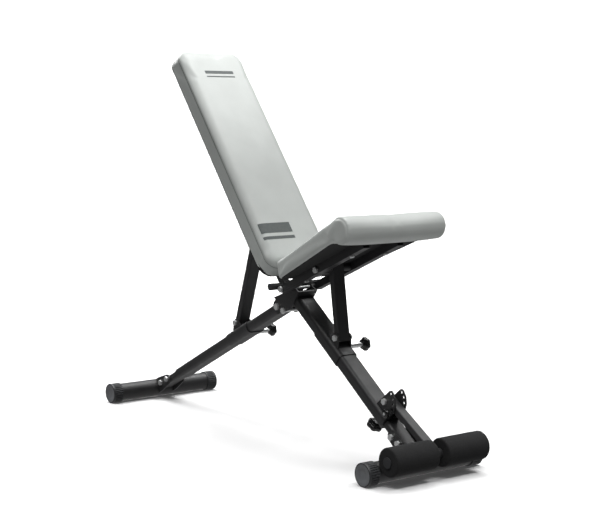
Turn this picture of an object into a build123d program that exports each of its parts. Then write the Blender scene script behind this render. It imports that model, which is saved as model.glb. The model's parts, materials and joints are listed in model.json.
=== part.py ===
from build123d import *

import os
from math import atan2, cos, degrees, radians, sin, sqrt

# An adjustable weight bench. Millimetres, +Z up, +X to the foot end, origin on the floor under the middle.
# A member's own coordinates are u along it, v square to it and upwards, and Y across the bench.

# ---------------------------------------------------------------- driving dimensions
REAR_LEG_LENGTH = 797.6        # rear foot axis to fold bolt
REAR_LEG_ANGLE = 26.47         # degrees above the floor
FRONT_LEG_ANGLE = 36.35
FOLD_DROP = 66.9               # fold bolt below the front leg's centre line
LEG_WIDTH = 60.0
FRONT_LEG_DEPTH = 40.0
REAR_LEG_DEPTH = 32.0
LEG_CORNER = 12.0
LEG_WALL = 2.5
PLATE = 4.0                    # pressed steel plates
HUB_PLATE_SIDE_GAP = 0.5       # hub plate to rear leg

FOOT_AXIS_HEIGHT = 31.5
FOOT_RADIUS = 28.5
FOOT_WALL = 2.0
CAP_RADIUS = 32.0
CAP_LENGTH = 36.0
CAP_END = 4.0
CAP_CHAMFER = 3.0
REAR_FOOT_LENGTH = 404.0
FRONT_FOOT_LENGTH = 400.0
LEG_END = 150.0                # foot axis to the lower end of a leg tube
STEM_WIDTH = 50.0
STEM_DEPTH = 24.0
STEM_CORNER = 8.0
STEM_REACH = 90.0              # stem inside the leg tube
EAR_INNER = 25.0               # half the gap between the foot bracket's ears
EAR_MARGIN = 5.0               # ear past the stem at its last bolt
REAR_FOOT_BOLTS = ((86.9, 2.3), (44.9, 3.0))
FRONT_FOOT_BOLTS = ((104.1, -4.0), (73.8, 3.1))
BUSH_LENGTH = 22.0
STEM_GAP = 0.2                 # stem to bush, each side
PLUG_LENGTH = 15.0
PLUG_FLANGE = 2.5

M10 = 10.0
M10_ACROSS = 16.0
M10_HEAD = 6.5
FOLD_BOLT = 12.0
FOLD_BOLT_ACROSS = 18.0
FOLD_BOLT_HEAD = 7.5
FOLD_BUSH = 18.0
RUNNING_FIT = 0.06             # radial, a shaft that turns in a hole
SLIDING_GAP = 0.5              # sleeve to leg, each side
STOP_GAP = 0.3

HUB_OVERLAP = 16.0             # hub plate past the front leg's upper end
LEG_TOP_FROM_FOLD = 35.7       # front leg's upper end short of the fold bolt, along the leg
HUB_FOLD_BOSS = 22.0
HUB_WEB_HEIGHT = 17.6
HUB_SEAT_BOSS = 9.0
HUB_SKIRT = 11.0               # hub plate below the front leg
HUB_HALF_LENGTH = 30.0         # hub plate along the leg, each way from the fold bolt
HUB_FOLD_RISE = 4.0
HUB_REAR_RISE = 10.0
HUB_LUG_DROP = 30.0            # hub plate's edge below the backrest pivot
HUB_SEAT_DROP = 14.0
HUB_EDGE = 5.0
REAR_LEG_STUB = 44.0           # rear leg past the fold bolt
STOP_BOLT_PAST = 23.7          # stop bolt past the fold bolt
RECLINE_AHEAD = 46.0           # backrest pivot from the fold bolt
RECLINE_ABOVE = 67.0
SEAT_PIVOT_AHEAD = 71.0        # seat pivot from the fold bolt
SEAT_PIVOT_ABOVE = 61.4

RECLINE_ANGLE = 51.7           # backrest above the floor
CROSS_TUBE_RADIUS = 10.0
CROSS_TUBE_LENGTH = 186.0
LUG_INNER = 18.0
LUG_THICKNESS = 5.0
LUG_RADIUS = 15.0
LUG_BASE = 42.0                # lug along the rear leg
LUG_BASE_BACK = 23.0           # middle of that length before the leg's end
WELD_SINK = 2.0                # ear or lug sunk past a tube's rounded corner
BACK_RAIL_INNER = 27.5
BACK_RAIL_WIDTH = 20.0
BACK_RAIL_DEPTH = 24.0
BACK_RAIL_LENGTH = 700.0
RAIL_WALL = 1.8
BOARD = 12.0
BACK_PAD = 61.0                # board and cushion together
BACK_WIDTH = 250.0
BACK_LENGTH = 820.0
BACK_SCREWS = (110.0, 400.0, 650.0)
SCREW_RADIUS = 6.0
SCREW_HEAD = 3.5
BACK_START = 20.0              # lower edge of the pad, from the pivot along the pad
BACK_CORNER = 45.0
BOARD_INSET = 7.0
TRACK_ALONG = 226.9            # rear strut's top pin from the backrest pivot
TRACK_BEHIND = 51.7
TRACK_TRAVEL = 112.0
TRACK_SLOPE = -0.1637          # the slot is the parabola that the strut's top pin follows
TRACK_BEND = 10.331 / 50**2
TRACK_CLEARANCE = 1.8
PIN_PAST_RAIL = 2.0
TRACK_MARGIN = 6.0             # plate round the slot's ends
TRACK_FOOT = 30.0              # plate past the slot along the rail, each way

SEAT_ANGLE = 23.2
SEAT_RAIL_INNER = 48.0
SEAT_RAIL_WIDTH = 24.0
SEAT_RAIL_DEPTH = 22.0
SEAT_RAIL_LENGTH = 398.0
SEAT_PAD = 56.0
SEAT_START = 60.0              # rear edge of the seat pad, from the seat pivot along the seat
SEAT_ROLL_AHEAD = 440.6
SEAT_ROLL_RADIUS = 41.5
SEAT_REAR_WIDTH = 250.0
SEAT_FRONT_WIDTH = 360.0
SEAT_CORNER = 22.0
SEAT_SIDE_STEP = 2.0           # flat part narrower than the roll, each side
SEAT_STRUT_AHEAD = 178.9       # front strut's top bolt from the seat pivot
SEAT_STRUT_PLAY = 3.8          # radial clearance of that bolt in the strut
SPACER_RADIUS = 9.0
SPACER_END_GAP = 0.2
SEAT_BOLT_SLACK = 1.0
SEAT_SCREWS = (110.0, 330.0)
CROSS_PLATE_AHEAD = 94.0       # plate under the board, from the seat pivot
CROSS_PLATE_WIDTH = 34.0
STRUT_SLOT_LENGTH = 80.0       # opening in the seat board for the front strut
STRUT_SLOT_GAP = 4.0
STRUT_SIDE_GAP = 0.5           # front strut to its spacers

SLEEVE_LENGTH = 122.0
SLEEVE_WALL = 2.5
REAR_STRUT_FROM_FOLD = 244.2   # along the rear leg
STRUT_ABOVE_SLEEVE = 16.6      # rear strut bolt above its sleeve
REAR_SLEEVE_LEAD = 60.0        # sleeve's upper end past the strut bolt
FRONT_STRUT_FROM_FOLD = 247.9  # along the front leg
SEAT_STRUT_ABOVE_SLEEVE = 16.8
FRONT_SLEEVE_LEAD = 71.0
STRUT_WIDTH = 40.0
STRUT_DEPTH = 22.0
STRUT_CORNER = 3.0
STRUT_WALL = 2.0
STRUT_END = 11.0
STRUT_EAR_INNER = 21.0
STRUT_EAR = 3.0
STRUT_EAR_RADIUS = 12.0

PLUNGER = 8.0
COLLAR = 10.6
COLLAR_LENGTH = 3.0
COLLAR_START = 1.0             # collar above the face that its barrel stands on
CHAMBER = 11.4
BARREL = 16.0
BARREL_ACROSS = 22.0
BARREL_BASE = 8.0
BARREL_NECK = 4.0
PIN_TRAVEL = 8.0
SPRING_WALL = 1.0
SPRING_GAP = 1.0               # pulled collar to spring
SPRING_FIT = 0.1
SIDE_BARREL_LENGTH = 50.0
SIDE_KNOB_OUT = 102.0          # knob centre from the middle of the bench
LEG_BARREL_LENGTH = 22.0
LEG_KNOB_OUT = 54.0            # knob centre from the front leg's centre line
LEG_PIN_STATION = 193.3
KNOB_RADIUS = 20.5
LEG_KNOB_RADIUS = 24.0
KNOB_HEIGHT = 20.0
KNOB_LOBES = 6
KNOB_FLUTE = 6.0
TIP_INSET = 2.0                # plunger tip inside the face that its barrel stands on
POSITION_PITCH = 42.0          # locking holes in the legs
POSITION_HOLE = 9.0
FRONT_POSITIONS = 5
FRONT_POSITION_FIRST = 2.5     # pitches above the seat's pull pin
REAR_POSITIONS = 9
REAR_POSITIONS_BELOW = 6

ARM_PIVOT_STATION = 187.0      # from the front foot axis
ARM_PIVOT_RISE = 46.8
ARM_WIDTH = 30.0
ARM_DEPTH = 20.0
ARM_CORNER = 4.0
ARM_WALL = 2.0
ARM_TAIL = 12.0
HOLE_PLATE_INNER = 17.0
HOLE_ARC = 34.0
HOLE_STEP = 25.6
HOLE_COUNT = 5
HOLE_MARGIN = 9.0
ARM_BOLT_MARGIN = 3.0
REST_PIN = 8.0
REST_PIN_GAP = 0.4
REST_PIN_BACK = 40.0
REST_PIN_TIP = 8.0
REST_KNOB_GAP = 4.0
REST_KNOB_RADIUS = 12.5
REST_KNOB_LENGTH = 14.0
ROLLER_AHEAD = 23.0            # axle from the front foot axis, along the leg
ROLLER_RISE = 64.2
AXLE_RADIUS = 12.7
AXLE_LENGTH = 326.0
FOAM_RADIUS = 39.0
FOAM_START = 15.6
PLUG_RADIUS = 14.5
PLUG_HEAD = 3.0
ROLLER_END_GAP = 0.4
PLUG_DEPTH = 14.0

# ---------------------------------------------------------------- places worked out from them
REAR_WIDTH = LEG_WIDTH - 2 * HUB_PLATE_SIDE_GAP
rear, front = radians(REAR_LEG_ANGLE), radians(FRONT_LEG_ANGLE)
fold_height = FOOT_AXIS_HEIGHT + REAR_LEG_LENGTH * sin(rear)
fold_station = (fold_height - FOOT_AXIS_HEIGHT + FOLD_DROP * cos(front)) / sin(front)
foot_spacing = REAR_LEG_LENGTH * cos(rear) + fold_station * cos(front) + FOLD_DROP * sin(front)
roller_reach = ROLLER_AHEAD * cos(front) + ROLLER_RISE * sin(front)
overall_length = CAP_RADIUS + foot_spacing + roller_reach + FOAM_RADIUS
rear_foot_x = CAP_RADIUS - overall_length / 2
front_foot_x = rear_foot_x + foot_spacing
fold_x = rear_foot_x + REAR_LEG_LENGTH * cos(rear)
recline_x, recline_z = fold_x + RECLINE_AHEAD, fold_height + RECLINE_ABOVE
seat_x, seat_z = fold_x + SEAT_PIVOT_AHEAD, fold_height + SEAT_PIVOT_ABOVE


def member(x, z, angle):
    """The side plane and the section plane of a member that leaves a point at an angle above +X."""
    run = (cos(radians(angle)), 0, sin(radians(angle)))
    across = -1 if angle < 90 else 1
    side = Plane(origin=(x, 0, z), x_dir=run, z_dir=(0, across, 0))
    section = Plane(origin=(x, 0, z), x_dir=(0, -across, 0), z_dir=run)
    return side, section


def in_member(side, point):
    """A point's u and v on a member's side plane."""
    local = side.to_local_coords(Vector(point))
    return local.X, local.Y


rear_side, rear_section = member(rear_foot_x, FOOT_AXIS_HEIGHT, REAR_LEG_ANGLE)
front_side, front_section = member(front_foot_x, FOOT_AXIS_HEIGHT, 180 - FRONT_LEG_ANGLE)
back_side, back_section = member(recline_x, recline_z, 180 - RECLINE_ANGLE)
seat_side, seat_section = member(seat_x, seat_z, SEAT_ANGLE)
back_face = Plane(origin=back_side.origin, x_dir=back_side.x_dir, z_dir=back_side.y_dir)
seat_face = Plane(origin=seat_side.origin, x_dir=seat_side.x_dir, z_dir=seat_side.y_dir)

front_leg_top = fold_station - LEG_TOP_FROM_FOLD
sleeve_height = SLIDING_GAP + SLEEVE_WALL
rear_strut_rise = REAR_LEG_DEPTH / 2 + sleeve_height + STRUT_ABOVE_SLEEVE
front_strut_rise = FRONT_LEG_DEPTH / 2 + sleeve_height + SEAT_STRUT_ABOVE_SLEEVE
rear_strut_station = REAR_LEG_LENGTH - REAR_STRUT_FROM_FOLD
front_strut_station = fold_station - FRONT_STRUT_FROM_FOLD
recline_uv = in_member(rear_side, (recline_x, 0, recline_z))
fold_on_front = in_member(front_side, (fold_x, 0, fold_height))
seat_on_front = in_member(front_side, (seat_x, 0, seat_z))
recline_on_front = in_member(front_side, (recline_x, 0, recline_z))

rear_strut_low = rear_side.from_local_coords((rear_strut_station, rear_strut_rise, 0))
rear_strut_top = back_side.from_local_coords((TRACK_ALONG, -TRACK_BEHIND, 0))
front_strut_low = front_side.from_local_coords((front_strut_station, front_strut_rise, 0))
front_strut_top = seat_side.from_local_coords((SEAT_STRUT_AHEAD, 0, 0))


def between(low, top):
    """The side and section planes of a strut between two pivots, and its length."""
    angle = degrees(atan2(top.Z - low.Z, top.X - low.X))
    side, section = member(low.X, low.Z, angle)
    return side, section, (top - low).length


rear_strut_side, rear_strut_section, rear_strut_length = between(rear_strut_low, rear_strut_top)
front_strut_side, front_strut_section, front_strut_length = between(front_strut_low, front_strut_top)

arm_pivot = front_side.from_local_coords((ARM_PIVOT_STATION, ARM_PIVOT_RISE, 0))
axle_centre = front_side.from_local_coords((-ROLLER_AHEAD, ROLLER_RISE, 0))
arm_side, arm_section, arm_length = between(axle_centre, arm_pivot)
rest_pin_drop = ARM_DEPTH / 2 + REST_PIN / 2 + REST_PIN_GAP
rest_pin_on_arm = (arm_length - sqrt(HOLE_ARC**2 - rest_pin_drop**2), -rest_pin_drop)
rest_pin_uv = in_member(front_side, arm_side.from_local_coords((*rest_pin_on_arm, 0)))
rest_pin_turn = degrees(atan2(rest_pin_uv[1] - ARM_PIVOT_RISE, rest_pin_uv[0] - ARM_PIVOT_STATION))

rear_pin_axis = Plane(
    origin=rear_side.from_local_coords((rear_strut_station, 0, 0)),
    x_dir=rear_side.x_dir,
    z_dir=(0, 1, 0),
)
front_pin_axis = Plane(
    origin=front_side.from_local_coords((front_strut_station, 0, 0)),
    x_dir=front_side.x_dir,
    z_dir=(0, 1, 0),
)
leg_pin_axis = Plane(
    origin=front_side.from_local_coords((LEG_PIN_STATION, 0, 0)),
    x_dir=(0, 1, 0),
    z_dir=-front_side.y_dir,
)
rear_pin_face = REAR_WIDTH / 2 + SLIDING_GAP + SLEEVE_WALL
front_pin_face = LEG_WIDTH / 2 + SLIDING_GAP + SLEEVE_WALL
leg_pin_face = FRONT_LEG_DEPTH / 2


# ---------------------------------------------------------------- shapes used more than once
def box_tube(section, start, end, width, depth, corner, wall):
    """Add a straight rounded rectangular tube along a member."""
    with BuildSketch(section.offset(start)) as profile:
        RectangleRounded(width, depth, corner)
        RectangleRounded(width - 2 * wall, depth - 2 * wall, corner - wall, mode=Mode.SUBTRACT)
    extrude(profile.sketch, amount=end - start)


def cross_round(side, u, v, radius, length, mode=Mode.ADD):
    """Add or cut a round bar that runs straight across the bench, centred on its middle plane."""
    with BuildSketch(side) as profile:
        with Locations((u, v)):
            Circle(radius)
    extrude(profile.sketch, amount=length / 2, both=True, mode=mode)


def cross_bolt(side, u, v, diameter, grip, across, head):
    """Add a bolt across the bench with a hexagon head on one end and a nut on the other."""
    cross_round(side, u, v, diameter / 2, grip)
    for end in (grip / 2, -grip / 2):
        with BuildSketch(side.offset(end)) as profile:
            with Locations((u, v)):
                RegularPolygon(across / 2, 6, major_radius=False)
        extrude(profile.sketch, amount=head if end > 0 else -head)


def round_tubes(side, u, v, outer, inner, start, end):
    """Add a pair of round tubes across the bench, one on each side of its middle plane."""
    with BuildSketch(side.offset(start)) as profile:
        with Locations((u, v)):
            Circle(outer)
            Circle(inner, mode=Mode.SUBTRACT)
    extrude(profile.sketch, amount=end - start)
    mirror(about=Plane.XZ)


def foot_tube(side, length):
    """Add a foot's cross tube."""
    cross_round(side, 0, 0, FOOT_RADIUS, length - 2 * CAP_END)
    cross_round(side, 0, 0, FOOT_RADIUS - FOOT_WALL, length, mode=Mode.SUBTRACT)


def foot_caps(x, length):
    """Add a pair of end caps, each cut flat where it stands on the floor."""
    foot = Plane(origin=(x, 0, FOOT_AXIS_HEIGHT), x_dir=(1, 0, 0), z_dir=(0, 1, 0))
    with BuildSketch(foot.offset(length / 2 - CAP_LENGTH)) as profile:
        Circle(CAP_RADIUS)
    extrude(profile.sketch, amount=CAP_LENGTH)
    chamfer(faces().sort_by(Axis.Y)[-1].edges(), CAP_CHAMFER)
    with BuildSketch(foot.offset(length / 2 - CAP_LENGTH)) as profile:
        Circle(FOOT_RADIUS)
    extrude(profile.sketch, amount=CAP_LENGTH - CAP_END, mode=Mode.SUBTRACT)
    split(bisect_by=Plane.XY, keep=Keep.TOP)
    mirror(about=Plane.XZ)


def foot_stem(section, side, bolts):
    """Add the narrow tube between a foot and its leg, coped round the foot tube."""
    box_tube(section, 0, LEG_END + STEM_REACH, STEM_WIDTH, STEM_DEPTH, STEM_CORNER, LEG_WALL)
    cross_round(side, 0, 0, FOOT_RADIUS, 2 * STEM_WIDTH, mode=Mode.SUBTRACT)
    for u, v in bolts:
        cross_round(side, u, v, M10 / 2, 2 * STEM_WIDTH, mode=Mode.SUBTRACT)


def foot_bracket(side, bolts):
    """Add the two ears that clasp a foot stem, coped round the foot tube."""
    reach = bolts[0][0]
    with BuildSketch(side.offset(EAR_INNER)) as profile:
        with Locations((reach, 0)):
            Circle(STEM_DEPTH / 2 + EAR_MARGIN)
        with Locations((FOOT_RADIUS, 0)):
            Rectangle(STEM_DEPTH, 2 * STEM_DEPTH)
        make_hull()
    extrude(profile.sketch, amount=PLATE)
    mirror(about=Plane.XZ)
    cross_round(side, 0, 0, FOOT_RADIUS, 2 * STEM_WIDTH, mode=Mode.SUBTRACT)
    for u, v in bolts:
        cross_round(side, u, v, M10 / 2, 2 * STEM_WIDTH, mode=Mode.SUBTRACT)


def foot_bolts(side, bolts):
    """Add the bolts through a foot bracket."""
    for u, v in bolts:
        cross_bolt(side, u, v, M10, 2 * (EAR_INNER + PLATE), M10_ACROSS, M10_HEAD)


def sleeve(section, side, station, lead, width, depth):
    """Add a sliding sleeve, with a round hole for its pull pin."""
    gap = SLIDING_GAP + SLEEVE_WALL
    start = station + lead - SLEEVE_LENGTH
    box_tube(section, start, station + lead, width + 2 * gap, depth + 2 * gap, LEG_CORNER + gap, SLEEVE_WALL)
    with BuildSketch(Plane(origin=side.origin, x_dir=side.x_dir, z_dir=(0, 1, 0))) as profile:
        with Locations((station, 0)):
            Circle(PLUNGER / 2 + RUNNING_FIT)
    extrude(profile.sketch, amount=width, mode=Mode.SUBTRACT)


def strut_ears(side, station, depth, rise):
    """Add the two ears that stand on a sleeve and carry a strut's lower bolt."""
    foot = depth / 2 + SLIDING_GAP + SLEEVE_WALL
    with BuildSketch(side.offset(STRUT_EAR_INNER)) as profile:
        with Locations((station, rise)):
            Circle(STRUT_EAR_RADIUS)
        with Locations((station, foot)):
            Rectangle(4 * STRUT_EAR_RADIUS, 2 * WELD_SINK)
        make_hull()
    extrude(profile.sketch, amount=STRUT_EAR)
    mirror(about=Plane.XZ)
    cross_round(side, station, rise, M10 / 2, LEG_WIDTH, mode=Mode.SUBTRACT)


def pin_barrel(axis, face, length):
    """Add a pull pin's barrel with its chamber and neck, and its spring clear of the travelling collar."""
    with BuildSketch(axis.offset(face)) as profile:
        RegularPolygon(BARREL_ACROSS / 2, 6, major_radius=False)
    extrude(profile.sketch, amount=BARREL_BASE)
    with BuildSketch(axis.offset(face)) as profile:
        Circle(BARREL / 2)
    extrude(profile.sketch, amount=length)
    with BuildSketch(axis.offset(face)) as profile:
        Circle(CHAMBER / 2)
    extrude(profile.sketch, amount=length - BARREL_NECK, mode=Mode.SUBTRACT)
    with BuildSketch(axis.offset(face)) as profile:
        Circle(PLUNGER / 2 + RUNNING_FIT)
    extrude(profile.sketch, amount=length, mode=Mode.SUBTRACT)
    start = COLLAR_START + COLLAR_LENGTH + PIN_TRAVEL + SPRING_GAP
    with BuildSketch(axis.offset(face + start)) as profile:
        Circle(CHAMBER / 2 - SPRING_FIT)
        Circle(CHAMBER / 2 - SPRING_FIT - SPRING_WALL, mode=Mode.SUBTRACT)
    extrude(profile.sketch, amount=length - BARREL_NECK - start)


def pin_plunger(axis, face, knob_out):
    """Add a pull pin's plunger, which ends just short of the leg inside."""
    with BuildSketch(axis.offset(face - TIP_INSET)) as profile:
        Circle(PLUNGER / 2)
    extrude(profile.sketch, amount=knob_out - face + TIP_INSET)
    with BuildSketch(axis.offset(face + COLLAR_START)) as profile:
        Circle(COLLAR / 2)
    extrude(profile.sketch, amount=COLLAR_LENGTH)


def pin_knob(axis, knob_out, radius):
    """Add a lobed knob with a blind hole for its plunger."""
    with BuildSketch(axis.offset(knob_out - KNOB_HEIGHT / 2)) as profile:
        Circle(radius)
        with PolarLocations(radius + KNOB_FLUTE / 2, KNOB_LOBES):
            Circle(KNOB_FLUTE, mode=Mode.SUBTRACT)
    extrude(profile.sketch, amount=KNOB_HEIGHT)
    with BuildSketch(axis.offset(knob_out - KNOB_HEIGHT / 2)) as profile:
        Circle(PLUNGER / 2)
    extrude(profile.sketch, amount=KNOB_HEIGHT / 2, mode=Mode.SUBTRACT)


def rails(side, pivot_radius, inner, width, depth, length, bore):
    """Add a pair of rails whose ends are rounded about their pivot, hollow past it."""
    with BuildSketch(side.offset(inner)) as profile:
        Circle(pivot_radius)
        with Locations((length / 2, 0)):
            Rectangle(length, depth)
        Circle(bore, mode=Mode.SUBTRACT)
    extrude(profile.sketch, amount=width)
    with BuildSketch(side.offset(inner + RAIL_WALL)) as profile:
        with Locations((length / 2 + pivot_radius, 0)):
            Rectangle(length - 2 * pivot_radius, depth - 2 * RAIL_WALL)
    extrude(profile.sketch, amount=width - 2 * RAIL_WALL, mode=Mode.SUBTRACT)
    mirror(about=Plane.XZ)


def straight_strut(section, length):
    """Add a strut's flat tube."""
    box_tube(section, -STRUT_END, length + STRUT_END, STRUT_WIDTH, STRUT_DEPTH, STRUT_CORNER, STRUT_WALL)


# ---------------------------------------------------------------- front frame
with BuildPart() as front_leg:
    box_tube(front_section, LEG_END, front_leg_top, LEG_WIDTH, FRONT_LEG_DEPTH, LEG_CORNER, LEG_WALL)
    with BuildSketch(leg_pin_axis):
        Circle(BARREL / 2)
    extrude(amount=FRONT_LEG_DEPTH, mode=Mode.SUBTRACT)
    with BuildSketch(front_pin_axis):
        with Locations(*[(POSITION_PITCH * (FRONT_POSITION_FIRST - k), 0) for k in range(FRONT_POSITIONS)]):
            Circle(POSITION_HOLE / 2)
    extrude(amount=LEG_WIDTH, mode=Mode.SUBTRACT)

with BuildPart() as front_leg_bush:
    with BuildSketch(front_section.offset(LEG_END)):
        RectangleRounded(LEG_WIDTH - 2 * LEG_WALL, FRONT_LEG_DEPTH - 2 * LEG_WALL, LEG_CORNER - LEG_WALL)
        RectangleRounded(
            STEM_WIDTH + 2 * STEM_GAP,
            STEM_DEPTH + 2 * STEM_GAP,
            STEM_CORNER + STEM_GAP,
            mode=Mode.SUBTRACT,
        )
    extrude(amount=BUSH_LENGTH)

with BuildPart() as hub:
    hub_start = front_leg_top - HUB_OVERLAP
    with BuildSketch(front_side.offset(LEG_WIDTH / 2)):
        with BuildLine():
            Polyline(
                (hub_start, FRONT_LEG_DEPTH / 2 + HUB_WEB_HEIGHT),
                (hub_start, -FRONT_LEG_DEPTH / 2 - HUB_SKIRT),
                (fold_on_front[0] - HUB_HALF_LENGTH, fold_on_front[1] + HUB_FOLD_RISE),
                (fold_on_front[0] + HUB_HALF_LENGTH, fold_on_front[1] + HUB_REAR_RISE),
                (recline_on_front[0], recline_on_front[1] - HUB_LUG_DROP),
                (seat_on_front[0] + HUB_EDGE, seat_on_front[1] - HUB_SEAT_DROP),
                (seat_on_front[0] + HUB_EDGE, seat_on_front[1] + HUB_EDGE),
                (seat_on_front[0], seat_on_front[1] + HUB_SEAT_BOSS),
                close=True,
            )
        make_face()
        with Locations(seat_on_front):
            Circle(HUB_SEAT_BOSS)
        with Locations(fold_on_front):
            Circle(HUB_FOLD_BOSS)
            Circle(FOLD_BOLT / 2, mode=Mode.SUBTRACT)
        with Locations(seat_on_front):
            Circle(M10 / 2, mode=Mode.SUBTRACT)
    extrude(amount=PLATE)
    mirror(about=Plane.XZ)
    stop_uv = (REAR_LEG_LENGTH + STOP_BOLT_PAST, -REAR_LEG_DEPTH / 2 - STOP_GAP - M10 / 2)
    cross_round(rear_side, *stop_uv, M10 / 2, 2 * LEG_WIDTH, mode=Mode.SUBTRACT)
    with BuildSketch(front_section.offset(hub_start)):
        with Locations((0, (FRONT_LEG_DEPTH + HUB_WEB_HEIGHT) / 2)):
            Rectangle(LEG_WIDTH, HUB_WEB_HEIGHT)
    extrude(amount=PLATE)

with BuildPart() as fold_bolt:
    grip = LEG_WIDTH + 2 * PLATE
    cross_bolt(rear_side, REAR_LEG_LENGTH, 0, FOLD_BOLT, grip, FOLD_BOLT_ACROSS, FOLD_BOLT_HEAD)

with BuildPart() as stop_bolt:
    cross_bolt(rear_side, *stop_uv, M10, LEG_WIDTH + 2 * PLATE, M10_ACROSS, M10_HEAD)

seat_rail_outer = SEAT_RAIL_INNER + SEAT_RAIL_WIDTH
with BuildPart() as seat_pivot_bolt:
    cross_bolt(seat_side, 0, 0, M10, 2 * seat_rail_outer + SEAT_BOLT_SLACK, M10_ACROSS, M10_HEAD)

with BuildPart() as seat_pivot_spacers:
    spacer_end = SEAT_RAIL_INNER - SPACER_END_GAP
    round_tubes(seat_side, 0, 0, SPACER_RADIUS, M10 / 2, LEG_WIDTH / 2 + PLATE, spacer_end)

with BuildPart() as hold_down_plates:
    hole_turns = [radians(rest_pin_turn - HOLE_STEP * k) for k in range(HOLE_COUNT)]
    hole_places = [
        (ARM_PIVOT_STATION + HOLE_ARC * cos(turn), ARM_PIVOT_RISE + HOLE_ARC * sin(turn))
        for turn in hole_turns
    ]
    with BuildSketch(front_side.offset(HOLE_PLATE_INNER)):
        with Locations(*hole_places):
            Circle(HOLE_MARGIN)
        with Locations((ARM_PIVOT_STATION, ARM_PIVOT_RISE)):
            Circle(ARM_DEPTH / 2 + ARM_BOLT_MARGIN)
        with Locations((ARM_PIVOT_STATION - HOLE_MARGIN, FRONT_LEG_DEPTH / 2 + 1)):
            Rectangle(2 * HOLE_ARC - HOLE_MARGIN, 2)
        make_hull()
        with Locations(*hole_places):
            Circle(REST_PIN / 2 + RUNNING_FIT, mode=Mode.SUBTRACT)
        with Locations((ARM_PIVOT_STATION, ARM_PIVOT_RISE)):
            Circle(M10 / 2, mode=Mode.SUBTRACT)
    extrude(amount=PLATE)
    mirror(about=Plane.XZ)

hole_plate_outer = HOLE_PLATE_INNER + PLATE
with BuildPart() as hold_down_bolt:
    arm_grip = 2 * hole_plate_outer
    cross_bolt(front_side, ARM_PIVOT_STATION, ARM_PIVOT_RISE, M10, arm_grip, M10_ACROSS, M10_HEAD)

with BuildPart() as leg_pin_barrel:
    pin_barrel(leg_pin_axis, leg_pin_face, LEG_BARREL_LENGTH)

# ---------------------------------------------------------------- front foot
with BuildPart() as front_foot_tube:
    foot_tube(front_side, FRONT_FOOT_LENGTH)

with BuildPart() as front_foot_caps:
    foot_caps(front_foot_x, FRONT_FOOT_LENGTH)

with BuildPart() as front_foot_stem:
    foot_stem(front_section, front_side, FRONT_FOOT_BOLTS)

with BuildPart() as front_foot_bracket:
    foot_bracket(front_side, FRONT_FOOT_BOLTS)

with BuildPart() as front_foot_bolts:
    foot_bolts(front_side, FRONT_FOOT_BOLTS)

# ---------------------------------------------------------------- rear frame
with BuildPart() as rear_leg:
    end = REAR_LEG_LENGTH + REAR_LEG_STUB
    box_tube(rear_section, LEG_END, end, REAR_WIDTH, REAR_LEG_DEPTH, LEG_CORNER, LEG_WALL)
    cross_round(rear_side, REAR_LEG_LENGTH, 0, FOLD_BUSH / 2, 2 * LEG_WIDTH, mode=Mode.SUBTRACT)
    with BuildSketch(rear_pin_axis):
        with Locations(*[(POSITION_PITCH * (k - REAR_POSITIONS_BELOW), 0) for k in range(REAR_POSITIONS)]):
            Circle(POSITION_HOLE / 2)
    extrude(amount=LEG_WIDTH, mode=Mode.SUBTRACT)

with BuildPart() as rear_leg_plugs:
    with BuildSketch(rear_section.offset(end)):
        RectangleRounded(REAR_WIDTH, REAR_LEG_DEPTH, LEG_CORNER)
    extrude(amount=PLUG_FLANGE)
    with BuildSketch(rear_section.offset(end)):
        RectangleRounded(REAR_WIDTH - 2 * LEG_WALL, REAR_LEG_DEPTH - 2 * LEG_WALL, LEG_CORNER - LEG_WALL)
    extrude(amount=-PLUG_LENGTH)
    with BuildSketch(rear_section.offset(LEG_END)):
        RectangleRounded(REAR_WIDTH - 2 * LEG_WALL, REAR_LEG_DEPTH - 2 * LEG_WALL, LEG_CORNER - LEG_WALL)
        RectangleRounded(STEM_WIDTH, STEM_DEPTH, STEM_CORNER, mode=Mode.SUBTRACT)
    extrude(amount=BUSH_LENGTH)

with BuildPart() as fold_bush:
    cross_round(rear_side, REAR_LEG_LENGTH, 0, FOLD_BUSH / 2, REAR_WIDTH)
    cross_round(rear_side, REAR_LEG_LENGTH, 0, FOLD_BOLT / 2 + RUNNING_FIT, LEG_WIDTH, mode=Mode.SUBTRACT)

with BuildPart() as backrest_lugs:
    lug_foot = REAR_LEG_LENGTH + REAR_LEG_STUB - LUG_BASE_BACK
    with BuildSketch(rear_side.offset(LUG_INNER)):
        with Locations(recline_uv):
            Circle(LUG_RADIUS)
        with Locations((lug_foot, REAR_LEG_DEPTH / 2)):
            Rectangle(LUG_BASE, 2 * WELD_SINK)
        make_hull()
        with Locations(recline_uv):
            Circle(CROSS_TUBE_RADIUS + RUNNING_FIT, mode=Mode.SUBTRACT)
    extrude(amount=LUG_THICKNESS)
    mirror(about=Plane.XZ)
    with BuildSketch(rear_section.offset(lug_foot - LUG_BASE)):
        RectangleRounded(REAR_WIDTH, REAR_LEG_DEPTH, LEG_CORNER)
    extrude(amount=2 * LUG_BASE, mode=Mode.SUBTRACT)

with BuildPart() as rear_foot_tube:
    foot_tube(rear_side, REAR_FOOT_LENGTH)

with BuildPart() as rear_foot_caps:
    foot_caps(rear_foot_x, REAR_FOOT_LENGTH)

with BuildPart() as rear_foot_stem:
    foot_stem(rear_section, rear_side, REAR_FOOT_BOLTS)

with BuildPart() as rear_foot_bracket:
    foot_bracket(rear_side, REAR_FOOT_BOLTS)

with BuildPart() as rear_foot_bolts:
    foot_bolts(rear_side, REAR_FOOT_BOLTS)

# ---------------------------------------------------------------- backrest
with BuildPart() as backrest_cross_tube:
    cross_round(back_side, 0, 0, CROSS_TUBE_RADIUS, CROSS_TUBE_LENGTH)
    cross_round(back_side, 0, 0, CROSS_TUBE_RADIUS - FOOT_WALL, CROSS_TUBE_LENGTH, mode=Mode.SUBTRACT)

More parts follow.
